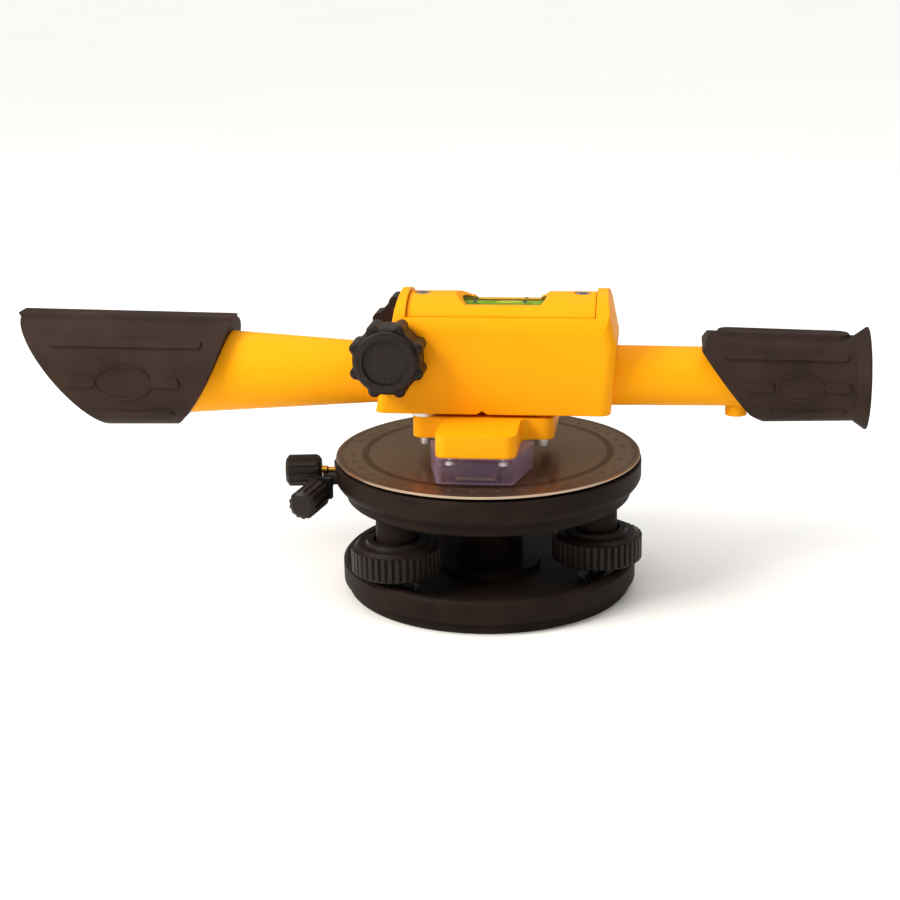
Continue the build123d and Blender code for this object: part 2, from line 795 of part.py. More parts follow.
# ---------- clamp ring and its screws ----------
ring_radius = sleeve_radius + running_gap + ring_wall
shoe_start = sleeve_radius + shoe_gap
shoe_end = shoe_start + shoe_length
tangent_origin = (tangent_reach * tangent_radial[0], tangent_reach * tangent_radial[1], tangent_height)
ear_plane = Plane(
    origin=tuple(tangent_origin[i] + ear_start * tangent_unit[i] for i in range(3)),
    x_dir=tangent_radial,
    z_dir=tangent_unit,
)
with BuildPart() as clamp_ring:
    with BuildSketch(Plane.XY.offset(post_base)):
        Circle(ring_radius)
    extrude(amount=ring_height)
    with BuildSketch(Plane(origin=(0, 0, post_base), x_dir=clamp_unit, z_dir=(0, 0, 1))):
        with Locations((clamp_boss_reach / 2, 0)):
            Rectangle(clamp_boss_reach, clamp_boss_width)
    extrude(amount=ring_height)
    # arm out through the wall, with the shoulder that joins it to the ear outside
    with BuildSketch(Plane(origin=(0, 0, arm_bottom), x_dir=clamp_unit, z_dir=(0, 0, 1))):
        with Locations(((post_flange_radius + 1 + arm_end) / 2, 0)):
            Rectangle(arm_end - post_flange_radius - 1, 2 * arm_half_width)
    extrude(amount=arm_top - arm_bottom)
    with BuildSketch(Plane(origin=(0, 0, post_base), x_dir=clamp_unit, z_dir=(0, 0, 1))):
        with Locations(((post_flange_radius + 4) / 2, 0)):
            Rectangle(post_flange_radius + 4, 2 * arm_half_width)
    extrude(amount=arm_top - post_base)
    with BuildSketch(Plane(origin=(0, 0, arm_bottom), x_dir=clamp_unit, z_dir=(0, 0, 1))):
        with Locations(((head_radius + 0.6 + arm_end) / 2, (shoulder_reach + 1) / 2)):
            Rectangle(arm_end - head_radius - 0.6, shoulder_reach - 1)
    extrude(amount=arm_top - arm_bottom)
    with BuildSketch(ear_plane):
        with Locations((0, (ear_top + ear_bottom) / 2 - tangent_height)):
            Rectangle(2 * ear_half_width, ear_top - ear_bottom)
    extrude(amount=ear_thickness)
    with BuildSketch(Plane.XY.offset(post_base)):
        Circle(sleeve_radius + running_gap)
    extrude(amount=ring_height, mode=Mode.SUBTRACT)
    with BuildSketch(Plane(origin=(0, 0, clamp_height), z_dir=clamp_unit)):
        Circle(clamp_screw_radius + running_gap)
    extrude(amount=clamp_boss_reach + 1, mode=Mode.SUBTRACT)
    with BuildSketch(Plane(origin=(0, 0, clamp_height), z_dir=clamp_unit)):
        Circle(shoe_radius + running_gap)
    extrude(amount=shoe_end, mode=Mode.SUBTRACT)
    with BuildSketch(ear_plane):
        Circle(tangent_screw_radius + running_gap)
    extrude(amount=ear_thickness, mode=Mode.SUBTRACT)
    # grooves over the tangent screw and its clip
    with BuildSketch(ear_plane):
        Circle(tangent_screw_radius + tangent_play)
    extrude(amount=-ear_start, mode=Mode.SUBTRACT)
    with BuildSketch(ear_plane):
        Circle(clip_radius + 0.4)
    extrude(amount=-2.0, mode=Mode.SUBTRACT)
save(clamp_ring, "clamp_ring")

with BuildPart() as brake_shoe:
    with BuildSketch(Plane(origin=(0, 0, clamp_height), z_dir=clamp_unit)):
        Circle(shoe_radius)
    extrude(amount=shoe_end)
    with BuildSketch(Plane.XY.offset(post_base)):
        Circle(shoe_start)
    extrude(amount=ring_height, mode=Mode.SUBTRACT)
save(brake_shoe, "brake_shoe")

clamp_start = (0, 0, clamp_height)
clamp_screw = turned_along(
    [
        (shoe_end, 0),
        (shoe_end, clamp_screw_radius),
        (clamp_knob_start - 2.6, clamp_screw_radius),
        (clamp_knob_start - 2.0, clamp_collar_radius),
        (clamp_knob_start, clamp_collar_radius),
        (clamp_knob_start, clamp_screw_radius),
        (clamp_knob_start + 8, clamp_screw_radius),
        (clamp_knob_start + 8, 0),
    ],
    clamp_start,
    clamp_unit,
)
save(clamp_screw, "clamp_screw")


def fluted_knob(start, direction, first, length, radius, bore, bore_depth):
    """Small thumb knob with rounded ends and straight flutes."""
    end_round = 1.6
    with BuildPart() as knob:
        plane = Plane(origin=start, x_dir=direction, z_dir=(direction[1], -direction[0], 0))
        with BuildSketch(plane):
            with BuildLine():
                Polyline(
                    (first, 0),
                    (first, radius - end_round),
                    (first + 0.6 * end_round, radius - 0.3 * end_round),
                    (first + 1.2 * end_round, radius),
                    (first + length - 0.8 * end_round, radius),
                    (first + length, radius - end_round),
                    (first + length, 0),
                    close=True,
                )
            make_face()
        revolve(axis=Axis(start, direction))
        face = Plane(origin=Vector(start) + Vector(direction) * first, z_dir=direction)
        with BuildSketch(face):
            with PolarLocations(radius + 0.25 * flute_radius, knob_flutes):
                Circle(flute_radius)
        extrude(amount=length, mode=Mode.SUBTRACT)
        with BuildSketch(face):
            Circle(bore + seat_gap)
        extrude(amount=bore_depth, mode=Mode.SUBTRACT)
    return knob


clamp_knob = fluted_knob(
    clamp_start, clamp_unit, clamp_knob_start, clamp_knob_length, clamp_knob_radius,
    clamp_screw_radius, 8,
)
save(clamp_knob, "clamp_knob")

tangent_collar_start = ear_start + ear_thickness + open_gap
tangent_knob_start = tangent_collar_start + tangent_collar
tangent_tip = lug_thickness / 2 + swing + 1.5
tangent_screw = turned_along(
    [
        (-tangent_tip, 0),
        (-tangent_tip, tangent_screw_radius),
        (tangent_collar_start, tangent_screw_radius),
        (tangent_collar_start, tangent_collar_radius),
        (tangent_knob_start, tangent_collar_radius),
        (tangent_knob_start, tangent_screw_radius),
        (tangent_knob_start + 10, tangent_screw_radius),
        (tangent_knob_start + 10, 0),
    ],
    tangent_origin,
    tangent_unit,
)
save(tangent_screw, "tangent_screw")

tangent_knob = fluted_knob(
    tangent_origin, tangent_unit, tangent_knob_start, tangent_knob_length, tangent_knob_radius,
    tangent_screw_radius, 10,
)
save(tangent_knob, "tangent_knob")

tangent_clip = turned_along(
    [
        (ear_start - open_gap - 1.0, tangent_screw_radius + seat_gap),
        (ear_start - open_gap - 1.0, clip_radius),
        (ear_start - open_gap, clip_radius),
        (ear_start - open_gap, tangent_screw_radius + seat_gap),
    ],
    tangent_origin,
    tangent_unit,
)
save(tangent_clip, "tangent_clip")

# ---------- standard under the telescope ----------
body_screw_spots = [(x, y) for x in (-body_screw_x, body_screw_x) for y in (-body_screw_y, body_screw_y)]
with BuildPart() as standard_plate:
    with BuildSketch(Plane.XY.offset(standard_bottom)):
        with BuildLine():
            Polyline(
                (-standard_half_length, -standard_half_width),
                (-nose_half_width, -standard_half_width),
                (-nose_half_width, -nose_reach),
                (nose_half_width, -nose_reach),
                (nose_half_width, -standard_half_width),
                (standard_half_length, -standard_half_width),
                (standard_half_length, standard_half_width),
                (-standard_half_length, standard_half_width),
                close=True,
            )
        make_face()
        fillet(vertices(), nose_fillet)
    extrude(amount=standard_thickness)
    with BuildSketch(Plane.XY.offset(standard_bottom)):
        Circle(sleeve_radius + seat_gap)
    extrude(amount=sleeve_spigot_length + 1, mode=Mode.SUBTRACT)
    with BuildSketch(Plane.XY.offset(standard_bottom)):
        with Locations(*body_screw_spots):
            Circle(body_screw_radius + 0.2)
    extrude(amount=standard_thickness, mode=Mode.SUBTRACT)
    with BuildSketch(Plane.XY.offset(standard_bottom)):
        with PolarLocations(sleeve_screw_circle, 4, start_angle=45):
            Circle(1.5)
    extrude(amount=4.2, mode=Mode.SUBTRACT)
save(standard_plate, "standard_plate")


def window_outline(inset):
    """Plan of the index window, drawn in by a wall's thickness on three sides."""
    slant = inset * (window_back_half - window_front_half) / (window_front - window_back)
    return [
        (-window_front_half + inset - slant, -window_front + inset),
        (window_front_half - inset + slant, -window_front + inset),
        (window_back_half - inset, -window_back),
        (-window_back_half + inset, -window_back),
    ]


window_bottom = standard_bottom - window_height
window_screw_spots = [(-9.5, -window_front + 6.5), (9.5, -window_front + 6.5)]
with BuildPart() as index_window:
    with BuildSketch(Plane.XY.offset(window_bottom)):
        with BuildLine():
            Polyline(*window_outline(0), close=True)
        make_face()
        fillet(vertices().group_by(Axis.Y)[0], 2)
    extrude(amount=window_height)
    with BuildSketch(Plane.XY.offset(window_bottom)):
        with BuildLine():
            Polyline(*window_outline(window_wall), close=True)
        make_face()
    extrude(amount=window_height - window_wall, mode=Mode.SUBTRACT)
    with BuildSketch(Plane.XY.offset(standard_bottom)):
        with Locations(*window_screw_spots):
            Circle(1.3)
    extrude(amount=-window_wall, mode=Mode.SUBTRACT)
save(index_window, "index_window")

window_screw_points = [(x, y, standard_bottom - window_wall) for x, y in window_screw_spots]
window_screws = screw_set(window_screw_points, 1.25, window_wall, 2.2, 1.5, False)
save(window_screws, "window_screws")

# vernier plate that hangs from the standard and ends just above the circle's numbers
index_drop = standard_bottom - circle_top - 1.4
with BuildPart() as index_plate:
    with BuildSketch(Plane(origin=(-7, 0, 0), x_dir=(0, 1, 0), z_dir=(1, 0, 0))):
        with BuildLine():
            Polyline(
                (-window_back + 3.6, standard_bottom),
                (-window_back + 0.2, standard_bottom),
                (-window_back + 0.2, standard_bottom - index_drop + 1),
                (-window_front + window_wall + 0.6, standard_bottom - index_drop + 1),
                (-window_front + window_wall + 0.6, standard_bottom - index_drop),
                (-window_back + 1.2, standard_bottom - index_drop),
                (-window_back + 1.2, standard_bottom - 1),
                (-window_back + 3.6, standard_bottom - 1),
                close=True,
            )
        make_face()
    extrude(amount=14)
save(index_plate, "index_plate")

body_screw_points = [(x, y, standard_bottom) for x, y in body_screw_spots]
body_screws = screw_set(
    body_screw_points, body_screw_radius, standard_thickness + washer_thickness + 6,
    body_screw_head, body_screw_head_height, False,
)
save(body_screws, "body_screws")

with BuildPart() as body_washers:
    with BuildSketch(Plane.XY.offset(standard_top)):
        with Locations(*body_screw_spots[:2]):
            Circle(washer_radius)
            Circle(body_screw_radius + 0.2, mode=Mode.SUBTRACT)
    extrude(amount=washer_thickness)
save(body_washers, "body_washers")

# ---------- telescope body ----------
body_right_middle_z = body_bottom + body_right_middle_height


def arch_outline(half_width, crown, spring, foot):
    """Cross-section with straight sides and an elliptical arched top, as (y, z) lines."""
    Polyline((-half_width, spring), (-half_width, foot), (half_width, foot), (half_width, spring))
    EllipticalCenterArc((0, spring), half_width, crown - spring, start_angle=0, arc_size=180)


def left_end_at(z):
    """Where the slanted left end of the body lies at a height."""
    share = (z - body_bottom) / body_height
    return body_left_bottom + share * (body_left_top - body_left_bottom)


inner_top = vial_z + 2
saddle_top = vial_z - vial_radius - carrier_wall
pillar_base = saddle_top - 6
guide_radius = slide_radius + running_gap + guide_wall
pinion_chamber = pitch_radius + tooth_addendum + pinion_chamber_gap
with BuildPart() as telescope_body:
    with BuildSketch(side_plane):
        with BuildLine():
            Polyline(
                (body_left_bottom, body_bottom),
                (body_right_bottom, body_bottom),
                (body_right_middle, body_right_middle_z),
                (body_right_top, body_top),
                (body_left_top, body_top),
                close=True,
            )
        make_face()
    extrude(amount=body_half_width, both=True)
    side_edges = edges().filter_by(lambda e: abs(e.center().Y) > body_half_width - 0.1)
    end_edges = side_edges.filter_by(lambda e: abs(e.tangent_at(0.5).Z) > 0.7)
    fillet(end_edges, body_corner)
    with BuildSketch(Plane.YZ.offset(body_left_bottom - 5)):
        with BuildLine():
            arch_outline(body_half_width, body_top, arch_z, body_bottom)
        make_face()
    extrude(amount=body_right_middle - body_left_bottom + 10, mode=Mode.INTERSECT)
    # room for the vial cover between the end walls
    cover_left = body_left_top + end_wall
    cover_right = body_right_top - end_wall - 0.9
    with BuildSketch(Plane.XY.offset(ledge_z)):
        with Locations(((cover_left + cover_right) / 2, 0)):
            Rectangle(cover_right - cover_left, 2 * body_half_width + 2)
    extrude(amount=body_top, mode=Mode.SUBTRACT)
    # tubes
    with BuildSketch(optical_plane):
        with BuildLine():
            Polyline(
                (front_tube_end, 0),
                (front_tube_end, front_tube_radius),
                (front_tube_root, front_tube_root_radius),
                (front_tube_root, 0),
                close=True,
            )
        make_face()
        with BuildLine():
            Polyline(
                (rear_tube_root, 0),
                (rear_tube_root, rear_tube_root_radius),
                (rear_tube_end, rear_tube_radius),
                (rear_tube_end, 0),
                close=True,
            )
        make_face()
    revolve(axis=optical_axis)
    with BuildSketch(Plane(origin=(reticle_boss_x, 0, optical_z - reticle_boss_drop), z_dir=(0, 0, 1))):
        Circle(reticle_boss_radius)
    extrude(amount=reticle_boss_drop - erector_bore_radius)
    # hollow inside
    with BuildSketch(side_plane):
        with BuildLine():
            Polyline(
                (left_end_at(body_bottom) + 1.4 * end_wall, body_bottom + body_wall),
                (body_right_bottom - 1.4 * end_wall, body_bottom + body_wall),
                (cover_right - 1, ledge_z + 1),
                (cover_left + 1, ledge_z + 1),
                close=True,
            )
        make_face()
    extrude(amount=body_half_width - body_wall - 1.6, both=True, mode=Mode.SUBTRACT)
    # guide of the focusing slide, saddles of the vial, pillars and screw bosses
    with BuildSketch(Plane(origin=(left_end_at(optical_z) + 1, 0, optical_z), z_dir=(1, 0, 0))):
        Circle(guide_radius)
    extrude(amount=guide_end - left_end_at(optical_z) - 1)
    saddle_lefts = (vial_left + 1, vial_right - 7)
    for x in saddle_lefts:
        with BuildSketch(Plane.XY.offset(saddle_top - 2.2)):
            with Locations((x + 3, 0)):
                Rectangle(6, 2 * (body_half_width - body_wall - 1))
        extrude(amount=2.2)
    with BuildSketch(Plane.XY.offset(pillar_base)):
        with Locations((cover_screw_left, 0), (cover_screw_right, 0)):
            Circle(pillar_radius)
        with Locations(((cover_screw_left + cover_left - 3) / 2, 0)):
            Rectangle(cover_screw_left - cover_left + 3, 2 * pillar_radius)
        with Locations(((cover_screw_right + cover_right + 2) / 2, 0)):
            Rectangle(cover_right + 2 - cover_screw_right, 2 * pillar_radius)
    extrude(amount=ledge_z - pillar_base)
    with BuildSketch(Plane.XY.offset(body_bottom)):
        with Locations(*body_screw_spots):
            Circle(body_screw_radius + 2)
    extrude(amount=8)
    with BuildSketch(Plane.XY.offset(standard_top)):
        with Locations(*body_screw_spots[2:]):
            Circle(pad_radius)
    extrude(amount=washer_thickness)
    # pinion boss across the left end
    focus_face = Plane(origin=(knob_x, -body_half_width, knob_z), z_dir=(0, 1, 0))
    with BuildSketch(focus_face):
        Circle(pinion_boss_radius)
    extrude(amount=2 * body_half_width)
    # bores
    front_seat = front_tube_end + cell_length
    with BuildSketch(optical_plane):
        with BuildLine():
            Polyline(
                (front_tube_end - 1, 0),
                (front_tube_end - 1, front_tube_radius - tube_wall),
                (front_seat, front_tube_at(front_seat) - tube_wall),
                (front_seat, objective_radius - cell_lip),
                (front_seat + 2, front_tube_at(front_seat + 2) - tube_wall - 0.6),
                (slide_left - focus_travel - 2, front_tube_at(slide_left - focus_travel - 2) - tube_wall),
                (front_tube_root - 8, front_tube_at(front_tube_root - 8) - tube_wall),
                (front_tube_root - 8, slide_radius + running_gap),
                (guide_end + 1, slide_radius + running_gap),
                (guide_end + 1, 0),
                close=True,
            )
        make_face()
        with BuildLine():
            Polyline(
                (erector_left - 1, 0),
                (erector_left - 1, erector_bore_radius),
                (rear_tube_end + 1, erector_bore_radius),
                (rear_tube_end + 1, 0),
                close=True,
            )
        make_face()
    revolve(axis=optical_axis, mode=Mode.SUBTRACT)
    rack_top = pitch_z + tooth_addendum
    rack_bottom = pitch_z - tooth_dedendum - rack_base
    with BuildSketch(Plane.XY.offset(optical_z)):
        with Locations((guide_end - 30, 0)):
            Rectangle(62, rack_width + 2 * rack_side_gap)
    extrude(amount=rack_top + rack_side_gap - optical_z, mode=Mode.SUBTRACT)
    with BuildSketch(focus_face):
        Circle(pinion_chamber)
    extrude(amount=2 * body_half_width, mode=Mode.SUBTRACT)
    # screw holes
    with BuildSketch(Plane.XY.offset(standard_top)):
        with Locations(*body_screw_spots):
            Circle(body_screw_radius + seat_gap)
    extrude(amount=washer_thickness + 7, mode=Mode.SUBTRACT)
    with BuildSketch(Plane.XY.offset(ledge_z)):
        with Locations((cover_screw_left, 0), (cover_screw_right, 0)):
            Circle(1.5)
    extrude(amount=-6, mode=Mode.SUBTRACT)
    with BuildSketch(Plane(origin=(reticle_boss_x, 0, optical_z), z_dir=(0, 0, -1))):
        Circle(reticle_screw_radius + seat_gap)
    extrude(amount=reticle_boss_drop - 1.5, mode=Mode.SUBTRACT)
    # small notch that marks the vertical axis
    with BuildSketch(side_plane):
        with BuildLine():
            Polyline((-2, body_bottom), (0, body_bottom + 1.3), (2, body_bottom), close=True)
        make_face()
    extrude(amount=body_half_width + 1, mode=Mode.SUBTRACT)
save(telescope_body, "telescope_body")

# ---------- vial under its cover ----------
with BuildPart() as vial_cover:
    cover_half_width = body_half_width - cover_side_inset
    with BuildSketch(Plane.YZ.offset(cover_left + open_gap)):
        with BuildLine():
            arch_outline(cover_half_width, cover_top, arch_z, arch_z - 1)
        make_face()
    extrude(amount=cover_right - cover_left - 2 * open_gap)
    with BuildSketch(Plane.YZ.offset(cover_left + open_gap + cover_wall)):
        with BuildLine():
            arch_outline(cover_half_width - cover_wall, cover_top - cover_wall, arch_z, arch_z - 1)
        make_face()
    extrude(amount=cover_right - cover_left - 2 * open_gap - 2 * cover_wall, mode=Mode.SUBTRACT)
    with BuildSketch(Plane.XY.offset(ledge_z)):
        Rectangle(4 * body_height, 4 * body_half_width)
    extrude(amount=-body_height, mode=Mode.SUBTRACT)
    # bosses for the two screws
    with BuildSketch(Plane.XY.offset(ledge_z)):
        with Locations((cover_screw_left, 0), (cover_screw_right, 0)):
            Circle(pillar_radius)
    extrude(amount=cover_top - ledge_z - 1)
    with BuildSketch(Plane.XY.offset(cover_top - cover_recess_depth)):
        with Locations((cover_screw_left, 0), (cover_screw_right, 0)):
            Circle(cover_recess_radius)
    extrude(amount=cover_recess_depth + 1, mode=Mode.SUBTRACT)
    with BuildSketch(Plane.XY.offset(ledge_z)):
        with Locations((cover_screw_left, 0), (cover_screw_right, 0)):
            Circle(1.6)
    extrude(amount=cover_top - ledge_z, mode=Mode.SUBTRACT)
    # slot over the vial, with sloping ends
    with BuildSketch(side_plane):
        with BuildLine():
            Polyline(
                (view_left_bottom, view_z),
                (view_right_bottom, view_z),
                (view_right_top, cover_top),
                (view_right_top, cover_top + 1),
                (view_left_top, cover_top + 1),
                (view_left_top, cover_top),
                close=True,
            )
        make_face()
    extrude(amount=body_half_width, both=True, mode=Mode.SUBTRACT)
    with BuildSketch(side_plane):
        with BuildLine():
            Polyline(
                (view_left_bottom, view_z + 1),
                (view_left_bottom + 2, cover_top - view_far_depth),
                (view_right_bottom - 1.5, cover_top - view_far_depth),
                (view_right_bottom, view_z + 1),
                close=True,
            )
        make_face()
    extrude(amount=-body_half_width, mode=Mode.SUBTRACT)
save(vial_cover, "vial_cover")

cover_screw_seat = cover_top - cover_recess_depth
cover_screw_points = [(x, 0, cover_screw_seat) for x in (cover_screw_left, cover_screw_right)]
vial_cover_screws = screw_set(
    cover_screw_points, 1.45, cover_screw_seat - ledge_z + 5, cover_screw_head, 1.1
)
save(vial_cover_screws, "vial_cover_screws")

vial_axis = Axis((0, 0, vial_z), (1, 0, 0))
vial_plane = Plane(origin=(0, 0, vial_z), x_dir=(1, 0, 0), z_dir=(0, -1, 0))
vial_bore = vial_radius - vial_wall
with BuildPart() as vial_glass:
    with BuildSketch(Plane(origin=(vial_left, 0, vial_z), z_dir=(1, 0, 0))):
        Circle(vial_radius)
        Circle(vial_bore, mode=Mode.SUBTRACT)
    extrude(amount=vial_right - vial_left)
save(vial_glass, "vial_glass")

bubble_half_length = 7.0
bubble_depth = 2.2
bubble_x = (vial_left + vial_right) / 2 + 1
liquid_radius = vial_bore - seat_gap
with BuildPart() as vial_liquid:
    with BuildSketch(Plane(origin=(vial_left + plug_length, 0, vial_z), z_dir=(1, 0, 0))):
        Circle(liquid_radius)
    extrude(amount=vial_right - vial_left - 2 * plug_length)
    bubble_top = vial_z + liquid_radius
    with BuildSketch(Plane(origin=(0, 0, bubble_top), x_dir=(1, 0, 0), z_dir=(0, -1, 0))):
        with BuildLine():
            ThreePointArc(
                (bubble_x - bubble_half_length, 0),
                (bubble_x, bubble_depth),
                (bubble_x + bubble_half_length, 0),
            )
            Line((bubble_x - bubble_half_length, 0), (bubble_x + bubble_half_length, 0))
        make_face()
    revolve(axis=Axis((0, 0, bubble_top), (1, 0, 0)), mode=Mode.SUBTRACT)
save(vial_liquid, "vial_liquid")

with BuildPart() as vial_plugs:
    for x in (vial_left, vial_right - plug_length):
        with BuildSketch(Plane(origin=(x, 0, vial_z), z_dir=(1, 0, 0))):
            Circle(vial_bore - seat_gap)
        extrude(amount=plug_length)
save(vial_plugs, "vial_plugs")

carrier_half = vial_radius + seat_gap + carrier_wall
carrier_length = vial_right - vial_left - 1
with BuildPart() as vial_carrier:
    with BuildSketch(Plane(origin=(vial_left + 0.5, 0, 0), x_dir=(0, 1, 0), z_dir=(1, 0, 0))):
        with BuildLine():
            Polyline(
                (-carrier_foot_reach, saddle_top),
                (carrier_foot_reach, saddle_top),
                (carrier_foot_reach, saddle_top + carrier_foot),
                (carrier_half, saddle_top + carrier_foot),
                (carrier_half, vial_z),
                (-carrier_half, vial_z),
                (-carrier_half, saddle_top + carrier_foot),
                (-carrier_foot_reach, saddle_top + carrier_foot),
                close=True,
            )
        make_face()
        with Locations((0, vial_z)):
            Circle(vial_radius + seat_gap, mode=Mode.SUBTRACT)
    extrude(amount=carrier_length)
    carrier_screw_y = (carrier_half + carrier_foot_reach) / 2
    with BuildSketch(Plane.XY.offset(saddle_top)):
        with Locations(*[(x + 3, y) for x in saddle_lefts for y in (-carrier_screw_y, carrier_screw_y)]):
            Circle(carrier_screw_radius + seat_gap)
    extrude(amount=carrier_foot, mode=Mode.SUBTRACT)
save(vial_carrier, "vial_carrier")

carrier_screw_points = [
    (x + 3, y, saddle_top + carrier_foot)
    for x in saddle_lefts
    for y in (-carrier_screw_y, carrier_screw_y)
]
carrier_screws = screw_set(carrier_screw_points, carrier_screw_radius, carrier_foot, 1.7, 1.2)
save(carrier_screws, "carrier_screws")

# ---------- objective ----------
cell_radius = front_tube_at(front_seat) - tube_wall - seat_gap
objective_cell = turned_optical([
    (front_tube_end - cell_flange_height, objective_radius - cell_lip),
    (front_tube_end - cell_flange_height, front_tube_radius - 0.5),
    (front_tube_end, front_tube_radius - 0.5),
    (front_tube_end, cell_radius),
    (front_seat, cell_radius),
    (front_seat, objective_radius + seat_gap),
    (front_seat - 2 * objective_lens_thickness - 1, objective_radius + seat_gap),
    (front_seat - 2 * objective_lens_thickness - 1, objective_radius - cell_lip),
])
save(objective_cell, "objective_cell")

lens_middle = front_seat - objective_lens_thickness
lens_front = lens_middle - objective_lens_thickness
lens_bulge = 1.6
lens_curve = (objective_radius**2 + lens_bulge**2) / (2 * lens_bulge)
with BuildPart() as objective_lenses:
    with BuildSketch(optical_plane):
        with BuildLine():
            Polyline(
                (lens_front, 0),
                (lens_middle - 0.05, 0),
                (lens_middle - 0.05, objective_radius),
                (lens_front + lens_bulge, objective_radius),
            )
            RadiusArc((lens_front, 0), (lens_front + lens_bulge, objective_radius), lens_curve)
        make_face()
    revolve(axis=optical_axis)
    with BuildSketch(Plane(origin=(lens_middle, 0, optical_z), z_dir=(1, 0, 0))):
        Circle(objective_radius)
    extrude(amount=objective_lens_thickness)
save(objective_lenses, "objective_lenses")

# ---------- focusing slide with rack and pinion ----------
slide_right = slide_left + slide_length
with BuildPart() as focus_slide:
    with BuildSketch(Plane(origin=(slide_left, 0, optical_z), z_dir=(1, 0, 0))):
        Circle(slide_radius)
        Circle(slide_radius - slide_wall, mode=Mode.SUBTRACT)
    extrude(amount=slide_length)
    # flat milled for the rack
    with BuildSketch(Plane.XY.offset(rack_bottom)):
        with Locations((slide_left + slide_length / 2, 0)):
            Rectangle(slide_length, rack_width)
    extrude(amount=slide_radius, mode=Mode.SUBTRACT)
save(focus_slide, "focus_slide")

focus_lens = turned_optical([
    (slide_left + 1, 0),
    (slide_left + 1, slide_radius - slide_wall - seat_gap),
    (slide_left + 4, slide_radius - slide_wall - seat_gap),
    (slide_left + 2.4, slide_radius / 2),
    (slide_left + 2, 0),
])
save(focus_lens, "focus_lens")

tooth_pitch = math.pi * gear_module
flank_slope = math.tan(math.radians(pressure_angle))
half_tooth = tooth_pitch / 4 - tooth_backlash / 2
rack_tooth_count = int((slide_length - 2) / tooth_pitch)
with BuildPart() as focus_rack:
    with BuildSketch(side_plane):
        with BuildLine():
            points = [(slide_left, rack_bottom), (slide_left, pitch_z - tooth_dedendum)]
            first_tooth = math.ceil((slide_left + 1 - knob_x) / tooth_pitch - 0.5) + 0.5
            for tooth in range(rack_tooth_count):
                middle = knob_x + (first_tooth + tooth) * tooth_pitch
                root = half_tooth + tooth_dedendum * flank_slope
                tip = half_tooth - tooth_addendum * flank_slope
                points.append((middle - root, pitch_z - tooth_dedendum))
                points.append((middle - tip, pitch_z + tooth_addendum))
                points.append((middle + tip, pitch_z + tooth_addendum))
                points.append((middle + root, pitch_z - tooth_dedendum))
            points.append((slide_right, pitch_z - tooth_dedendum))
            points.append((slide_right, rack_bottom))
            Polyline(*points, close=True)
        make_face()
    extrude(amount=rack_width / 2, both=True)
save(focus_rack, "focus_rack")

base_circle = pitch_radius * math.cos(math.radians(pressure_angle))
tip_radius = pitch_radius + tooth_addendum
root_radius = pitch_radius - tooth_dedendum


def involute_turn(radius):
    """Angle that an involute of the base circle has turned through at a radius."""
    if radius <= base_circle:
        return 0.0
    roll = math.sqrt((radius / base_circle) ** 2 - 1)
    return roll - math.atan(roll)


with BuildPart() as focus_pinion:
    with BuildSketch(Plane(origin=(knob_x, -pinion_width / 2, knob_z), x_dir=(1, 0, 0), z_dir=(0, 1, 0))):
        with BuildLine():
            outline = []
            half_angle = half_tooth / pitch_radius + involute_turn(pitch_radius)
            for tooth in range(pinion_teeth):
                middle = math.pi / 2 + tooth * 2 * math.pi / pinion_teeth
                flank = [root_radius, base_circle, pitch_radius, tip_radius]
                rising = [(r, middle - half_angle + involute_turn(r)) for r in flank]
                falling = [(r, middle + half_angle - involute_turn(r)) for r in reversed(flank)]
                for r, turn in rising + falling:
                    outline.append((r * math.cos(turn), r * math.sin(turn)))
            Polyline(*outline, close=True)
        make_face()
        Circle(focus_shaft_radius + seat_gap, mode=Mode.SUBTRACT)
    extrude(amount=pinion_width)
save(focus_pinion, "focus_pinion")

shaft_reach = knob_back + knob_depth - 4
focus_shaft = turned_cross([
    (-shaft_reach, 0), (-shaft_reach, focus_shaft_radius),
    (shaft_reach, focus_shaft_radius), (shaft_reach, 0),
])
save(focus_shaft, "focus_shaft")

bush_outer = pinion_chamber - seat_gap
with BuildPart() as focus_bushes:
    for side in (-1, 1):
        with BuildSketch(Plane(origin=(knob_x, side * body_half_width, knob_z), z_dir=(0, side, 0))):
            Circle(bush_outer)
            Circle(focus_shaft_radius + running_gap, mode=Mode.SUBTRACT)
        extrude(amount=-focus_bush_length)
        with BuildSketch(Plane(origin=(knob_x, side * body_half_width, knob_z), z_dir=(0, side, 0))):
            Circle(pinion_boss_radius)
            Circle(focus_shaft_radius + running_gap, mode=Mode.SUBTRACT)
        extrude(amount=focus_bush_flange)
save(focus_bushes, "focus_bushes")


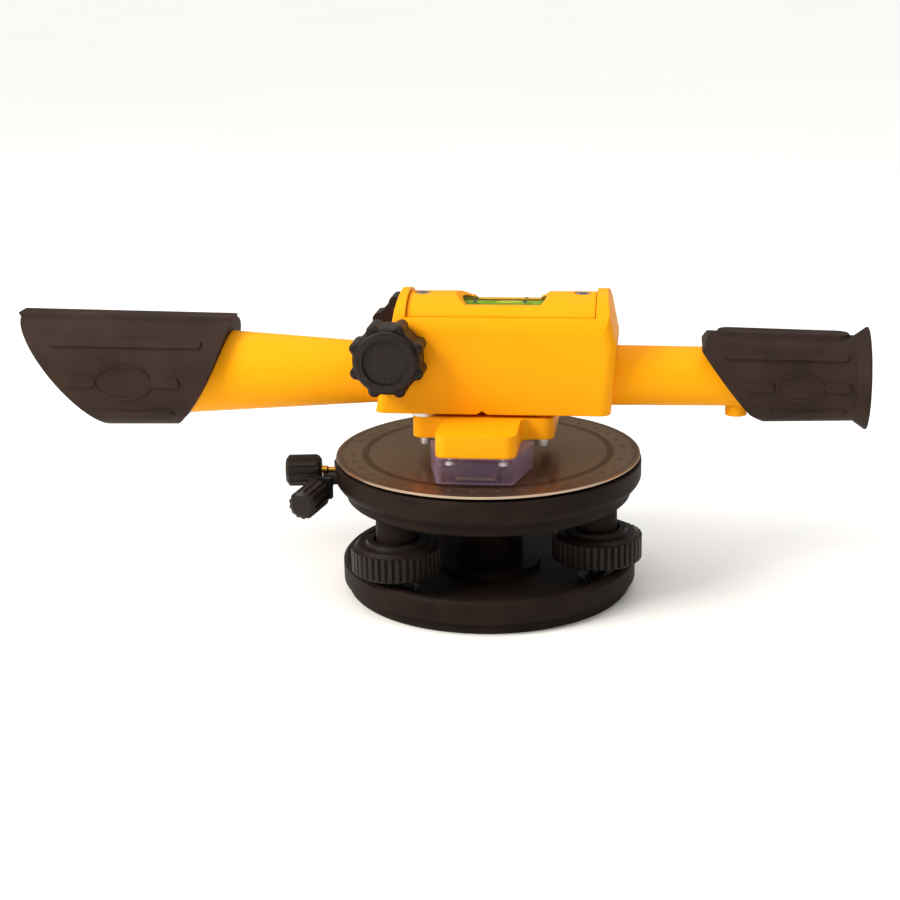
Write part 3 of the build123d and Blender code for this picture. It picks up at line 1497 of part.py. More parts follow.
def focus_knob(side):
    """Lobed hand knob with a smooth ring and a dished face."""
    lobed_depth = knob_depth - knob_ring_depth
    with BuildPart() as knob:
        with BuildSketch(Plane(origin=(knob_x, side * knob_back, knob_z), z_dir=(0, side, 0))):
            Circle(knob_core)
            with PolarLocations(knob_envelope - lobe_radius, knob_lobes, start_angle=22.5):
                Circle(lobe_radius)
            fillet(vertices(), 1.5)
        extrude(amount=lobed_depth)
        chamfer(faces().sort_by(Axis.Y)[0 if side < 0 else -1].edges(), 0.8)
        front = side * (knob_back + lobed_depth)
        with BuildSketch(Plane(origin=(knob_x, front, knob_z), z_dir=(0, side, 0))):
            Circle(knob_ring_radius)
        extrude(amount=knob_ring_depth)
        fillet(faces().sort_by(Axis.Y)[0 if side < 0 else -1].edges(), 1.0)
        face = side * (knob_back + knob_depth)
        with BuildSketch(Plane(origin=(knob_x, face, knob_z), z_dir=(0, side, 0))):
            Circle(knob_recess_radius)
        extrude(amount=-knob_recess_depth, mode=Mode.SUBTRACT)
        with BuildSketch(Plane(origin=(knob_x, side * knob_back, knob_z), z_dir=(0, side, 0))):
            Circle(focus_shaft_radius + seat_gap)
        extrude(amount=knob_depth - 4, mode=Mode.SUBTRACT)
    return knob


save(focus_knob(-1), "focus_knob_near")
save(focus_knob(1), "focus_knob_far")

# ---------- erector, reticle and eyepiece ----------
erector_outer = erector_bore_radius - seat_gap
erector_right = erector_left + erector_length
erector_tube = turned_optical([
    (erector_left, erector_outer - erector_wall),
    (erector_left, erector_outer),
    (erector_right, erector_outer),
    (erector_right, erector_outer - erector_wall),
])
save(erector_tube, "erector_tube")

with BuildPart() as erector_lenses:
    for x in (erector_left + 1, erector_right - 1 - erector_lens_thickness):
        with BuildSketch(Plane(origin=(x, 0, optical_z), z_dir=(1, 0, 0))):
            Circle(erector_outer - erector_wall - seat_gap)
        extrude(amount=erector_lens_thickness)
save(erector_lenses, "erector_lenses")

reticle_left = reticle_boss_x - reticle_ring_length / 2
reticle_ring = turned_optical([
    (reticle_left, reticle_ring_radius - 1.6),
    (reticle_left, reticle_ring_radius),
    (reticle_left + reticle_ring_length, reticle_ring_radius),
    (reticle_left + reticle_ring_length, reticle_ring_radius - 3),
    (reticle_left + reticle_thickness + 1, reticle_ring_radius - 3),
    (reticle_left + reticle_thickness + 1, reticle_ring_radius - 1.6),
])
save(reticle_ring, "reticle_ring")

reticle_glass = turned_optical([
    (reticle_left + 1, 0),
    (reticle_left + 1, reticle_ring_radius - 1.6 - seat_gap),
    (reticle_left + 1 + reticle_thickness, reticle_ring_radius - 1.6 - seat_gap),
    (reticle_left + 1 + reticle_thickness, 0),
])
save(reticle_glass, "reticle_glass")

with BuildPart() as reticle_screws:
    with BuildSketch(Plane(origin=(reticle_boss_x, 0, optical_z - reticle_ring_radius), z_dir=(0, 0, -1))):
        Circle(reticle_screw_radius)
    extrude(amount=reticle_boss_drop - reticle_ring_radius - 1.6)
save(reticle_screws, "reticle_screws")

barrel_start = rear_tube_end + barrel_gap
barrel_end = barrel_start + barrel_length + 4
barrel_spigot = erector_bore_radius - running_gap
with BuildPart() as eyepiece_barrel:
    with BuildSketch(optical_plane):
        with BuildLine():
            Polyline(
                (rear_tube_end - barrel_spigot_length, barrel_spigot - barrel_wall),
                (rear_tube_end - barrel_spigot_length, barrel_spigot),
                (barrel_start, barrel_spigot),
                (barrel_start, barrel_radius - 0.8),
                (barrel_start + 0.8, barrel_radius),
                (barrel_end - 0.8, barrel_radius),
                (barrel_end, barrel_radius - 0.8),
                (barrel_end, eye_lens_radius + 1.4),
                (barrel_end - 2.4, eye_lens_radius - 0.8),
                (barrel_end - 3.0, eye_lens_radius - 0.8),
                (barrel_end - 3.0, barrel_spigot - barrel_wall),
                close=True,
            )
        make_face()
    revolve(axis=optical_axis)
    with BuildSketch(Plane(origin=(barrel_start, 0, optical_z), z_dir=(1, 0, 0))):
        with PolarLocations(barrel_radius + 0.15, barrel_grooves):
            Circle(0.6)
    extrude(amount=barrel_end - barrel_start, mode=Mode.SUBTRACT)
save(eyepiece_barrel, "eyepiece_barrel")

with BuildPart() as eye_lenses:
    for x in (rear_tube_end - barrel_spigot_length + 1, barrel_end - 3 - eye_lens_thickness):
        with BuildSketch(Plane(origin=(x, 0, optical_z), z_dir=(1, 0, 0))):
            Circle(barrel_spigot - barrel_wall - seat_gap)
        extrude(amount=eye_lens_thickness)
save(eye_lenses, "eye_lenses")


# ---------- rubber sunshade and eyecup ----------
def surface_plane(x, angle, side, radius_at):
    """Plane lying on a tapered round surface, its own X along the taper."""
    step = 1.0
    fall = (radius_at(x) - radius_at(x + step)) / step
    level = side * math.cos(math.radians(angle))
    rise = math.sin(math.radians(angle))
    radius = radius_at(x)
    return Plane(
        origin=(x, level * radius, optical_z + rise * radius),
        x_dir=(1, -fall * level, -fall * rise),
        z_dir=(fall, level, rise),
    )


def shade_at(x):
    """Outer radius of the sunshade."""
    share = (x - shade_front_x) / (shade_rear_x - shade_front_x)
    return shade_front_radius + share * (shade_rear_radius - shade_front_radius)


def eyecup_at(x):
    """Outer radius of the eyecup."""
    share = (x - eyecup_left_x) / (eyecup_flare_x - eyecup_left_x)
    return eyecup_left_radius + share * (eyecup_right_radius - eyecup_left_radius)


rib_sink = 1.2
rib_spread = (rib_height + rib_sink) * math.tan(math.radians(rib_taper))
shade_bars = [(-184, -92, 90, 1, crown_rib_width)]
eyecup_bars = [(84, 133, 90, 1, crown_rib_width)]
for side in (-1, 1):
    shade_bars += [
        (-164, -104, side_rib_angle, side, rib_width),
        (-148, -116, -side_rib_angle, side, rib_width),
        (-158, -144, 0, side, rib_width),
        (-125, -112, 0, side, rib_width),
    ]
    eyecup_bars += [
        (86, 132, side_rib_angle, side, eyecup_rib_width),
        (104, 132, -side_rib_angle, side, eyecup_rib_width),
        (94.5, 106, 0, side, eyecup_rib_width),
        (122, 133, 0, side, eyecup_rib_width),
    ]
shade_top = optical_z + shade_front_radius
shade_bottom = optical_z - shade_front_radius
mouth_top = shade_front_middle - shade_front_slant * (shade_front_radius + 4)
mouth_bottom = shade_front_middle + shade_front_slant * (shade_front_radius + 4)
cut = 4.0
with BuildPart() as sunshade:
    with BuildSketch(optical_plane):
        with BuildLine():
            Polyline(
                (shade_front_x - 8, shade_front_radius - shade_wall),
                (shade_front_x - 8, shade_at(shade_front_x - 8)),
                (shade_rear_x + 2, shade_at(shade_rear_x + 2)),
                (shade_rear_x + 2, front_tube_at(shade_rear_x + 2) + seat_gap),
                (front_tube_end, front_tube_radius + seat_gap),
                (front_tube_end, shade_at(front_tube_end) - shade_wall),
                close=True,
            )
        make_face()
    revolve(axis=optical_axis)
    for start, end, angle, side, width in shade_bars:
        bar_plane = surface_plane((start + end) / 2, angle, side, shade_at)
        with BuildSketch(bar_plane.offset(-rib_sink)):
            SlotOverall(end - start, width + 2 * rib_spread)
        extrude(amount=rib_height + rib_sink, taper=rib_taper)
    for side in (-1, 1):
        pad_plane = surface_plane(shade_oval_x, 0, side, shade_at)
        with BuildSketch(pad_plane.offset(-1.8)):
            Ellipse(shade_oval_length / 2, shade_oval_width / 2)
        extrude(amount=1.8 + oval_height)
        with BuildSketch(pad_plane.offset(oval_height)):
            Ellipse(shade_oval_length / 2 - oval_rim, shade_oval_width / 2 - oval_rim)
        extrude(amount=-oval_dish, mode=Mode.SUBTRACT)
    # slanted mouth and bowed rear edge
    with BuildSketch(side_plane):
        with BuildLine():
            Polyline(
                (mouth_top, shade_top + cut),
                (mouth_bottom, shade_bottom - cut),
                (shade_front_x - 30, shade_bottom - cut),
                (shade_front_x - 30, shade_top + cut),
                close=True,
            )
        make_face()
    extrude(amount=2 * shade_front_radius, both=True, mode=Mode.SUBTRACT)
    with BuildSketch(side_plane):
        with BuildLine():
            ThreePointArc(
                (shade_rear_top, optical_z + shade_rear_radius),
                (shade_rear_middle, optical_z),
                (shade_rear_bottom, optical_z - shade_rear_radius),
            )
            Polyline(
                (shade_rear_bottom, optical_z - shade_rear_radius),
                (shade_rear_bottom - 2, shade_bottom - cut),
                (shade_rear_x + 10, shade_bottom - cut),
                (shade_rear_x + 10, shade_top + cut),
                (shade_rear_top + 1.5, shade_top + cut),
                (shade_rear_top, optical_z + shade_rear_radius),
            )
        make_face()
    extrude(amount=2 * shade_front_radius, both=True, mode=Mode.SUBTRACT)
save(sunshade, "sunshade")

with BuildPart() as eyecup:
    with BuildSketch(optical_plane):
        with BuildLine():
            Polyline(
                (eyecup_left_x, rear_tube_at(eyecup_left_x) + seat_gap),
                (eyecup_left_x, eyecup_left_radius),
                (eyecup_flare_x, eyecup_right_radius),
                (eyecup_end_x - 0.6, eyecup_flare_radius),
                (eyecup_end_x, eyecup_flare_radius),
                (eyecup_end_x, eyecup_mouth_radius),
                (eyecup_flare_x, eyecup_chamber_radius),
                (rear_tube_end, eyecup_chamber_radius),
                (rear_tube_end, rear_tube_radius + seat_gap),
                close=True,
            )
        make_face()
    revolve(axis=optical_axis)
    for start, end, angle, side, width in eyecup_bars:
        bar_plane = surface_plane((start + end) / 2, angle, side, eyecup_at)
        with BuildSketch(bar_plane.offset(-rib_sink)):
            SlotOverall(end - start, width + 2 * rib_spread)
        extrude(amount=rib_height + rib_sink, taper=rib_taper)
    for side in (-1, 1):
        pad_plane = surface_plane(eyecup_oval_x, 0, side, eyecup_at)
        with BuildSketch(pad_plane.offset(-1.8)):
            Ellipse(eyecup_oval_length / 2, eyecup_oval_width / 2)
        extrude(amount=1.8 + oval_height)
        with BuildSketch(pad_plane.offset(oval_height)):
            Ellipse(eyecup_oval_length / 2 - oval_rim, eyecup_oval_width / 2 - oval_rim)
        extrude(amount=-oval_dish, mode=Mode.SUBTRACT)
    with BuildSketch(side_plane):
        with BuildLine():
            Polyline(
                (eyecup_left_x + 4, optical_z + eyecup_left_radius + cut),
                (eyecup_left_x + 2.6, optical_z + eyecup_left_radius),
                (eyecup_left_x + 0.4, optical_z + 12),
                (eyecup_left_x + 18, optical_z - 11.5),
                (eyecup_left_x + 24.5, optical_z - 16.4),
                (eyecup_left_x + 30, optical_z - 17.5 - cut),
                (eyecup_left_x - 5, optical_z - 17.5 - cut),
                (eyecup_left_x - 5, optical_z + eyecup_left_radius + cut),
                close=True,
            )
        make_face()
    extrude(amount=2 * eyecup_left_radius, both=True, mode=Mode.SUBTRACT)
save(eyecup, "eyecup")
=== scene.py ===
import math

import bmesh
import bpy
from mathutils import Matrix, Vector


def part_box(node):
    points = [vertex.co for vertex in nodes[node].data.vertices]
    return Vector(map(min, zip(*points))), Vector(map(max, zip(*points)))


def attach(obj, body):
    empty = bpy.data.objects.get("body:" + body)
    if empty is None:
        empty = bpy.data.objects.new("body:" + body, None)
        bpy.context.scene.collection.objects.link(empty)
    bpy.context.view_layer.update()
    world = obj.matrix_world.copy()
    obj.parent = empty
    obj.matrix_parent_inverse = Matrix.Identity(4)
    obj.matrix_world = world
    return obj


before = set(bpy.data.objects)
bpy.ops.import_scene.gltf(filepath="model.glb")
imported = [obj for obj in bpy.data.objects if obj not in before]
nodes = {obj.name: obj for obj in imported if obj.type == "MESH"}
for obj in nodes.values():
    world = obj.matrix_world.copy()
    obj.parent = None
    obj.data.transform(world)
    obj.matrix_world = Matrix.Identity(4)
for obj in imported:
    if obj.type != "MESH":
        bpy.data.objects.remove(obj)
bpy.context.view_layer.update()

scene = bpy.context.scene
print("frame loaded:", len(nodes), "CAD nodes")


def linearColour(hexText):
    channels = [int(hexText[i:i + 2], 16) / 255 for i in (1, 3, 5)]
    linear = [c / 12.92 if c <= 0.04045 else ((c + 0.055) / 1.055) ** 2.4 for c in channels]
    return (*linear, 1.0)


def perMetre(sizeMm):
    return 1000.0 / sizeMm  # texture scale for a feature of this size


def polar(angle):
    # outward and sideways directions at an angle round the vertical axis
    c, s = math.cos(angle), math.sin(angle)
    return Vector((c, s, 0)), Vector((-s, c, 0))


def addNode(tree, kind, settings=None, links=None):
    node = tree.nodes.new(kind)
    for key, value in (settings or {}).items():
        if isinstance(key, int) or key in node.inputs:
            node.inputs[key].default_value = value
        else:
            setattr(node, key, value)
    for key, (source, output) in (links or {}).items():
        tree.links.new(source.outputs[output], node.inputs[key])
    return node


def startMaterial(name, shaderSettings):
    material = bpy.data.materials.new(name)
    material.use_nodes = True
    tree = material.node_tree
    tree.nodes.clear()
    shader = addNode(tree, "ShaderNodeBsdfPrincipled", shaderSettings)
    addNode(tree, "ShaderNodeOutputMaterial", links={"Surface": (shader, "BSDF")})
    place = addNode(tree, "ShaderNodeTexCoord")
    return material, tree, shader, place


def addNoise(tree, place, sizeMm, detail):
    return addNode(tree, "ShaderNodeTexNoise", {"Scale": perMetre(sizeMm), "Detail": detail},
                   {"Vector": (place, "Object")})


def addTone(tree, shader, noise, dark, light, start=0.0, end=1.0):
    # base colour between two tones, by how high the noise is
    tone = addNode(tree, "ShaderNodeValToRGB", links={"Fac": (noise, "Fac")})
    low, high = tone.color_ramp.elements
    low.position, low.color = start, dark
    high.position, high.color = end, light
    tree.links.new(tone.outputs["Color"], shader.inputs["Base Color"])


def addBump(tree, shader, source, output, strength, distanceMm, rounded=None):
    bump = addNode(tree, "ShaderNodeBump", {"Strength": strength, "Distance": distanceMm / 1000},
                   {"Height": (source, output)})
    if rounded:
        tree.links.new(rounded.outputs["Normal"], bump.inputs["Normal"])
    tree.links.new(bump.outputs["Normal"], shader.inputs["Normal"])


def addShine(tree, shader, noise, least, most):
    shine = addNode(tree, "ShaderNodeMapRange", {"To Min": least, "To Max": most},
                    {"Value": (noise, "Fac")})
    tree.links.new(shine.outputs["Result"], shader.inputs["Roughness"])


def dress(material, *names):
    for name in names:
        slots = nodes[name].data.materials
        for i in range(len(slots)):
            slots[i] = material


cameraView = {"target": (-0.014485, 0.0, 0.05274), "azimuth": 7.5, "elevation": 16.6,
              "distance": 0.65, "roll": -1.1, "lens": 68.32, "sensor": 36.0}


def placeCamera(v):
    az, el, roll = (math.radians(v[k]) for k in ("azimuth", "elevation", "roll"))
    back = Vector((math.sin(az) * math.cos(el), -math.cos(az) * math.cos(el), math.sin(el)))
    right = Vector((math.cos(az), math.sin(az), 0))
    up = back.cross(right)
    across = math.cos(roll) * right + math.sin(roll) * up
    above = -math.sin(roll) * right + math.cos(roll) * up
    data = bpy.data.cameras.new("levelCamera")
    data.lens = v["lens"]
    data.sensor_width = v["sensor"]
    camera = bpy.data.objects.new("levelCamera", data)
    turn = Matrix((across, above, back)).transposed().to_4x4()
    camera.matrix_world = Matrix.Translation(Vector(v["target"]) + v["distance"] * back) @ turn
    scene.collection.objects.link(camera)
    scene.camera = camera


placeCamera(cameraView)
print("camera placed")


# powder coat on die-cast aluminium: warm yellow, satin, with a faint orange peel and soft edges
powderCoat = {"colour": "#F4A10A", "deep": "#EF9B08", "roughness": 0.48, "gloss": 0.07,
              "patchMm": 40, "peelMm": 1.5, "peel": 0.22, "peelDepthMm": 0.2, "softEdgeMm": 0.7}


def makePowderCoat(s):
    material, tree, shader, place = startMaterial("yellowPowderCoat", {
        "Roughness": s["roughness"], "IOR": 1.5, "Specular IOR Level": s["gloss"]})
    patch = addNoise(tree, place, s["patchMm"], 3.0)
    addTone(tree, shader, patch, linearColour(s["deep"]), linearColour(s["colour"]), 0.3, 0.6)
    peel = addNoise(tree, place, s["peelMm"], 2.0)
    rounded = addNode(tree, "ShaderNodeBevel", {"Radius": s["softEdgeMm"] / 1000, "samples": 6})
    addBump(tree, shader, peel, "Fac", s["peel"], s["peelDepthMm"], rounded)
    return material


# stoved black enamel on cast aluminium: brown-black, low gloss, slightly pebbled
blackEnamel = {"colour": "#1B130F", "worn": "#271D18", "roughness": 0.5, "gloss": 0.06,
               "cloudMm": 14, "pebbleMm": 0.9, "pebble": 0.3, "pebbleDepthMm": 0.2}


def makeBlackEnamel(s):
    material, tree, shader, place = startMaterial("blackEnamel", {
        "IOR": 1.5, "Specular IOR Level": s["gloss"]})
    cloud = addNoise(tree, place, s["cloudMm"], 5.0)
    addTone(tree, shader, cloud, linearColour(s["colour"]), linearColour(s["worn"]), 0.35, 0.75)
    addShine(tree, shader, cloud, s["roughness"] - 0.06, s["roughness"] + 0.12)
    pebble = addNoise(tree, place, s["pebbleMm"], 3.0)
    addBump(tree, shader, pebble, "Fac", s["pebble"], s["pebbleDepthMm"])
    return material


# injection-moulded ABS with a spark-eroded face: dull brown-black
mouldedAbs = {"colour": "#1B1411", "dust": "#302722", "roughness": 0.4, "gloss": 0.14,
              "grainMm": 0.45, "grain": 0.35, "grainDepthMm": 0.15}


def makeMouldedAbs(s):
    material, tree, shader, place = startMaterial("mouldedAbs", {
        "Roughness": s["roughness"], "IOR": 1.53, "Specular IOR Level": s["gloss"]})
    grain = addNoise(tree, place, s["grainMm"], 4.0)
    addTone(tree, shader, grain, linearColour(s["colour"]), linearColour(s["dust"]), 0.4, 0.8)
    addBump(tree, shader, grain, "Fac", s["grain"], s["grainDepthMm"])
    return material


# compression-moulded rubber: warm brown-black, soft sheen, handled patches
mouldedRubber = {"colour": "#2A1F1B", "handled": "#382A24", "roughness": 0.62, "gloss": 0.06,
                 "patchMm": 22, "grainMm": 0.6, "grain": 0.3, "grainDepthMm": 0.15}


def makeRubber(s):
    material, tree, shader, place = startMaterial("mouldedRubber", {
        "Roughness": s["roughness"], "IOR": 1.52, "Specular IOR Level": s["gloss"]})
    patch = addNoise(tree, place, s["patchMm"], 5.0)
    addTone(tree, shader, patch, linearColour(s["colour"]), linearColour(s["handled"]), 0.35, 0.7)
    grain = addNoise(tree, place, s["grainMm"], 3.0)
    addBump(tree, shader, grain, "Fac", s["grain"], s["grainDepthMm"])
    return material


# metals share one recipe: turned, cast or plated, told apart by colour, grain and roughness
metalFinishes = {
    "anodisedBlack": {"colour": "#1B1A1A", "roughness": 0.45, "grainMm": 0.5, "metallic": 0.6},
    "turnedAluminium": {"colour": "#C9C6C1", "roughness": 0.32, "grainMm": 0.3, "metallic": 1.0},
    "groundSteel": {"colour": "#9E9B97", "roughness": 0.36, "grainMm": 0.3, "metallic": 1.0},
    "blackenedSteel": {"colour": "#2A2725", "roughness": 0.42, "grainMm": 0.5, "metallic": 0.7},
    "zincPlate": {"colour": "#D2D1CD", "roughness": 0.26, "grainMm": 0.4, "metallic": 1.0},
    "turnedBrass": {"colour": "#D9A648", "roughness": 0.24, "grainMm": 0.3, "metallic": 1.0},
    "satinIndexPlate": {"colour": "#8F7B63", "roughness": 0.42, "grainMm": 0.3, "metallic": 0.9},
}
metalGrain = {"shade": 0.82, "depthMm": 0.1, "relief": 0.1}


def makeMetal(name, s):
    material, tree, shader, place = startMaterial(name, {"Metallic": s["metallic"]})
    grain = addNoise(tree, place, s["grainMm"], 3.0)
    base = Vector(linearColour(s["colour"])[:3])
    addTone(tree, shader, grain, (*(base * metalGrain["shade"]), 1), (*base, 1))
    addShine(tree, shader, grain, s["roughness"] - 0.05, s["roughness"] + 0.08)
    addBump(tree, shader, grain, "Fac", metalGrain["relief"], metalGrain["depthMm"])
    return material


# lathe-faced anodised aluminium disc: grey-brown, concentric turning lines, one dark ring, and a
# lighter rim colour that is a painted highlight on the chamfered edge
# the turning lines are drawn coarser than a tool's feed, so that they show
# the edge colour is a painted highlight along the disc's rim
circleFace = {"colour": "#958070", "ring": "#6F5D50", "edge": "#A9947F", "glance": "#CDBBA8",
              "roughness": 0.21, "brushed": 0.5, "ringInnerMm": 45.2, "ringOuterMm": 47.4,
              "edgeMm": 57.0, "rampEndMm": 60.0, "turningMm": 0.7, "turning": 0.03,
              "turningDepthMm": 0.03, "smudgeMm": 18}


def makeCircleFace(s):
    material, tree, shader, place = startMaterial("facedAluminium", {
        "Metallic": 0.9, "Anisotropic": s["brushed"], "Specular Tint": linearColour(s["glance"])})
    flat = addNode(tree, "ShaderNodeVectorMath", {"operation": "MULTIPLY", 1: (1, 1, 0)},
                   {0: (place, "Object")})
    radius = addNode(tree, "ShaderNodeVectorMath", {"operation": "LENGTH"}, {0: (flat, "Vector")})
    bands = addNode(tree, "ShaderNodeMapRange", {"From Max": s["rampEndMm"] / 1000},
                    {"Value": (radius, "Value")})
    tone = addNode(tree, "ShaderNodeValToRGB", links={"Fac": (bands, "Result")})
    ramp = tone.color_ramp
    ramp.elements[0].color = linearColour(s["colour"])
    # past edgeMm the colour turns to the edge colour, a painted highlight on the rim
    ramp.elements[1].color = linearColour(s["edge"])
    ramp.elements[1].position = (s["edgeMm"] + 0.2) / s["rampEndMm"]
    for at, key in ((s["ringInnerMm"] - 0.4, "colour"), (s["ringInnerMm"], "ring"),
                    (s["ringOuterMm"], "ring"), (s["ringOuterMm"] + 0.4, "colour"),
                    (s["edgeMm"], "colour")):
        ramp.elements.new(at / s["rampEndMm"]).color = linearColour(s[key])
    tree.links.new(tone.outputs["Color"], shader.inputs["Base Color"])
    lines = addNode(tree, "ShaderNodeMath",
                    {"operation": "MULTIPLY", 1: 2000 * math.pi / s["turningMm"]},
                    {0: (radius, "Value")})
    wave = addNode(tree, "ShaderNodeMath", {"operation": "SINE"}, {0: (lines, "Value")})
    smudge = addNoise(tree, place, s["smudgeMm"], 4.0)
    addShine(tree, shader, smudge, s["roughness"] - 0.03, s["roughness"] + 0.06)
    addBump(tree, shader, wave, "Value", s["turning"], s["turningDepthMm"])
    return material


# machined acetal: waxy off-white
acetal = {"colour": "#D8D5C8", "cloudy": "#C9C6B8", "roughness": 0.4, "cloudMm": 6}


def makeAcetal(s):
    material, tree, shader, place = startMaterial("machinedAcetal", {
        "Roughness": s["roughness"], "IOR": 1.48, "Subsurface Weight": 0.1})
    cloud = addNoise(tree, place, s["cloudMm"], 2.0)
    addTone(tree, shader, cloud, linearColour(s["cloudy"]), linearColour(s["colour"]))
    return material


# clear pieces: cast acrylic with a violet cast, coated optical glass, blown vial glass
# thin walls show as a see-through film that thickens where the wall is seen edge-on
clearFinishes = {
    "castAcrylic": {"colour": "#A487A6", "roughness": 0.08, "ior": 1.49, "gloss": 0.5,
                    "thin": 0.08, "edge": 0.62},
    "coatedGlass": {"colour": "#5E7F74", "roughness": 0.03, "ior": 1.52, "gloss": 0.5,
                    "thin": 0.35, "edge": 0.8},
    "vialGlass": {"colour": "#86A83C", "roughness": 0.06, "ior": 1.47, "gloss": 0.12,
                  "thin": 0.03, "edge": 0.3},
}
clearFilm = {"filmMm": 9, "shade": 0.85, "rimBlend": 0.35}


def makeClear(name, s):
    material, tree, shader, place = startMaterial(name, {
        "IOR": s["ior"], "Specular IOR Level": s["gloss"]})
    film = addNoise(tree, place, clearFilm["filmMm"], 2.0)
    base = Vector(linearColour(s["colour"])[:3])
    addTone(tree, shader, film, (*(base * clearFilm["shade"]), 1), (*base, 1))
    addShine(tree, shader, film, s["roughness"] * 0.5, s["roughness"] * 1.5)
    rim = addNode(tree, "ShaderNodeLayerWeight", {"Blend": clearFilm["rimBlend"]})
    body = addNode(tree, "ShaderNodeMapRange", {"To Min": s["thin"], "To Max": s["edge"]},
                   {"Value": (rim, "Facing")})
    tree.links.new(body.outputs["Result"], shader.inputs["Alpha"])
    return material


# dyed spirit and the air over it: wet and bright, lit through the cover's opening
spirits = {"dyedSpirit": {"colour": "#75991A", "deep": "#5C7F14", "roughness": 0.2},
           "airBubble": {"colour": "#C2B447", "deep": "#AFA53A", "roughness": 0.2}}


def makeSpirit(name, s):
    material, tree, shader, place = startMaterial(name, {
        "Roughness": s["roughness"], "IOR": 1.36, "Specular IOR Level": 0.12,
        "Subsurface Weight": 0.2, "Subsurface Scale": 0.004})
    depth = addNoise(tree, place, 5, 1.0)
    addTone(tree, shader, depth, linearColour(s["deep"]), linearColour(s["colour"]), 0.35, 0.65)
    return material


# printing ink, blackened engraving, and the painted shade of the screw recesses: matte, slightly
# uneven where it has worn
inksAndRecessShade = {"engravingBlack": {"colour": "#1D1917", "roughness": 0.6},
            "fadedEngraving": {"colour": "#4E3E32", "roughness": 0.55},
            # recessShade is painted shade: the dark colour of the sheets that stand for the screws'
            # drive recesses
            "recessShade": {"colour": "#2B2927", "roughness": 0.55}}
wornInkAndShade = {"colour": "#3E3733", "patchMm": 1.2}


def makeFilling(name, s):
    material, tree, shader, place = startMaterial(name, {"Roughness": s["roughness"], "IOR": 1.5})
    worn = addNoise(tree, place, wornInkAndShade["patchMm"], 3.0)
    addTone(tree, shader, worn, linearColour(s["colour"]), linearColour(wornInkAndShade["colour"]))
    return material


finish = {name: makeMetal(name, s) for name, s in metalFinishes.items()}
finish.update({name: makeClear(name, s) for name, s in clearFinishes.items()})
finish.update({name: makeSpirit(name, s) for name, s in spirits.items()})
finish.update({name: makeFilling(name, s) for name, s in inksAndRecessShade.items()})
finish["yellowPowderCoat"] = makePowderCoat(powderCoat)
finish["blackEnamel"] = makeBlackEnamel(blackEnamel)
finish["mouldedAbs"] = makeMouldedAbs(mouldedAbs)
finish["mouldedRubber"] = makeRubber(mouldedRubber)
finish["facedAluminium"] = makeCircleFace(circleFace)
finish["machinedAcetal"] = makeAcetal(acetal)

nodeFinish = {
    "yellowPowderCoat": ["telescope_body", "vial_cover", "standard_plate"],
    "blackEnamel": ["base_plate", "head_cup", "ball_seat"],
    "mouldedAbs": ["level_wheel_left", "level_wheel_right", "level_wheel_rear", "clamp_knob",
                   "tangent_knob", "focus_knob_near", "focus_knob_far"],
    "mouldedRubber": ["sunshade", "eyecup"],
    "facedAluminium": ["horizontal_circle"],
    "machinedAcetal": ["friction_washer", "vial_plugs"],
    "anodisedBlack": ["objective_cell", "focus_slide", "erector_tube", "eyepiece_barrel",
                      "clamp_ring"],
    "turnedAluminium": ["spindle_sleeve", "body_washers"],
    "blackenedSteel": ["foot_keepers", "keeper_screws"],
    "groundSteel": ["center_ball", "center_post", "brake_shoe", "tangent_clip",
                    "focus_shaft", "reticle_screws", "level_stem_left", "level_stem_right",
                    "level_stem_rear"],
    "zincPlate": ["post_screws", "sleeve_screws", "window_screws", "body_screws",
                  "vial_cover_screws", "carrier_screws"],
    "turnedBrass": ["screw_bushes", "post_nut", "clamp_screw", "tangent_screw", "vial_carrier",
                    "focus_rack", "focus_pinion", "focus_bushes", "reticle_ring"],
    "satinIndexPlate": ["index_plate"],
    "castAcrylic": ["index_window"],
    "coatedGlass": ["objective_lenses", "focus_lens", "erector_lenses", "reticle_glass",
                    "eye_lenses"],
    "vialGlass": ["vial_glass"],
    "dyedSpirit": ["vial_liquid"],
}
for finishName, members in nodeFinish.items():
    dress(finish[finishName], *members)
print("finishes made:", len(finish))


def meshPiece(name, bm, finishName, body):
    mesh = bpy.data.meshes.new(name)
    bm.to_mesh(mesh)
    bm.free()
    mesh.materials.append(finish[finishName])
    piece = bpy.data.objects.new(name, mesh)
    scene.collection.objects.link(piece)
    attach(piece, body)
    return piece


# engraved degree lines and numbers on the horizontal circle, four quadrants of 0 to 90
dial = {"liftMm": 0.02, "outerMm": 56.4, "depthMm": 0.03, "lineMm": 0.13,
        "lengthMm": {1: 1.4, 5: 2.1, 10: 2.8}, "numberMm": 1.7, "numberRadiusMm": 51.4,
        "sizeToDigit": 1.4}


def addSlab(bm, corners, thickness):
    low = [bm.verts.new(c) for c in corners]
    high = [bm.verts.new((c[0], c[1], c[2] + thickness)) for c in corners]
    bm.faces.new(high)
    bm.faces.new(list(reversed(low)))
    count = len(corners)
    for i in range(count):
        j = (i + 1) % count
        bm.faces.new((low[i], low[j], high[j], high[i]))


def addLine(bm, angle, inner, outer, widthMm, z, thickness):
    # a straight engraved line that points away from the vertical axis
    along, side = polar(angle)
    half = widthMm / 2000
    corners = [along * inner - side * half, along * outer - side * half,
               along * outer + side * half, along * inner + side * half]
    addSlab(bm, [(c.x, c.y, z) for c in corners], thickness)


def quadrantNumber(degree):
    turn = degree % 180
    return turn if turn <= 90 else 180 - turn


def engraveDial(s):
    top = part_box("horizontal_circle")[1].z + s["liftMm"] / 1000
    thickness = s["depthMm"] / 1000
    bm = bmesh.new()
    for degree in range(360):
        step = 10 if degree % 10 == 0 else 5 if degree % 5 == 0 else 1
        addLine(bm, math.radians(degree), (s["outerMm"] - s["lengthMm"][step]) / 1000,
                s["outerMm"] / 1000, s["lineMm"], top, thickness)
    return meshPiece("dialLines", bm, "fadedEngraving", "circle")


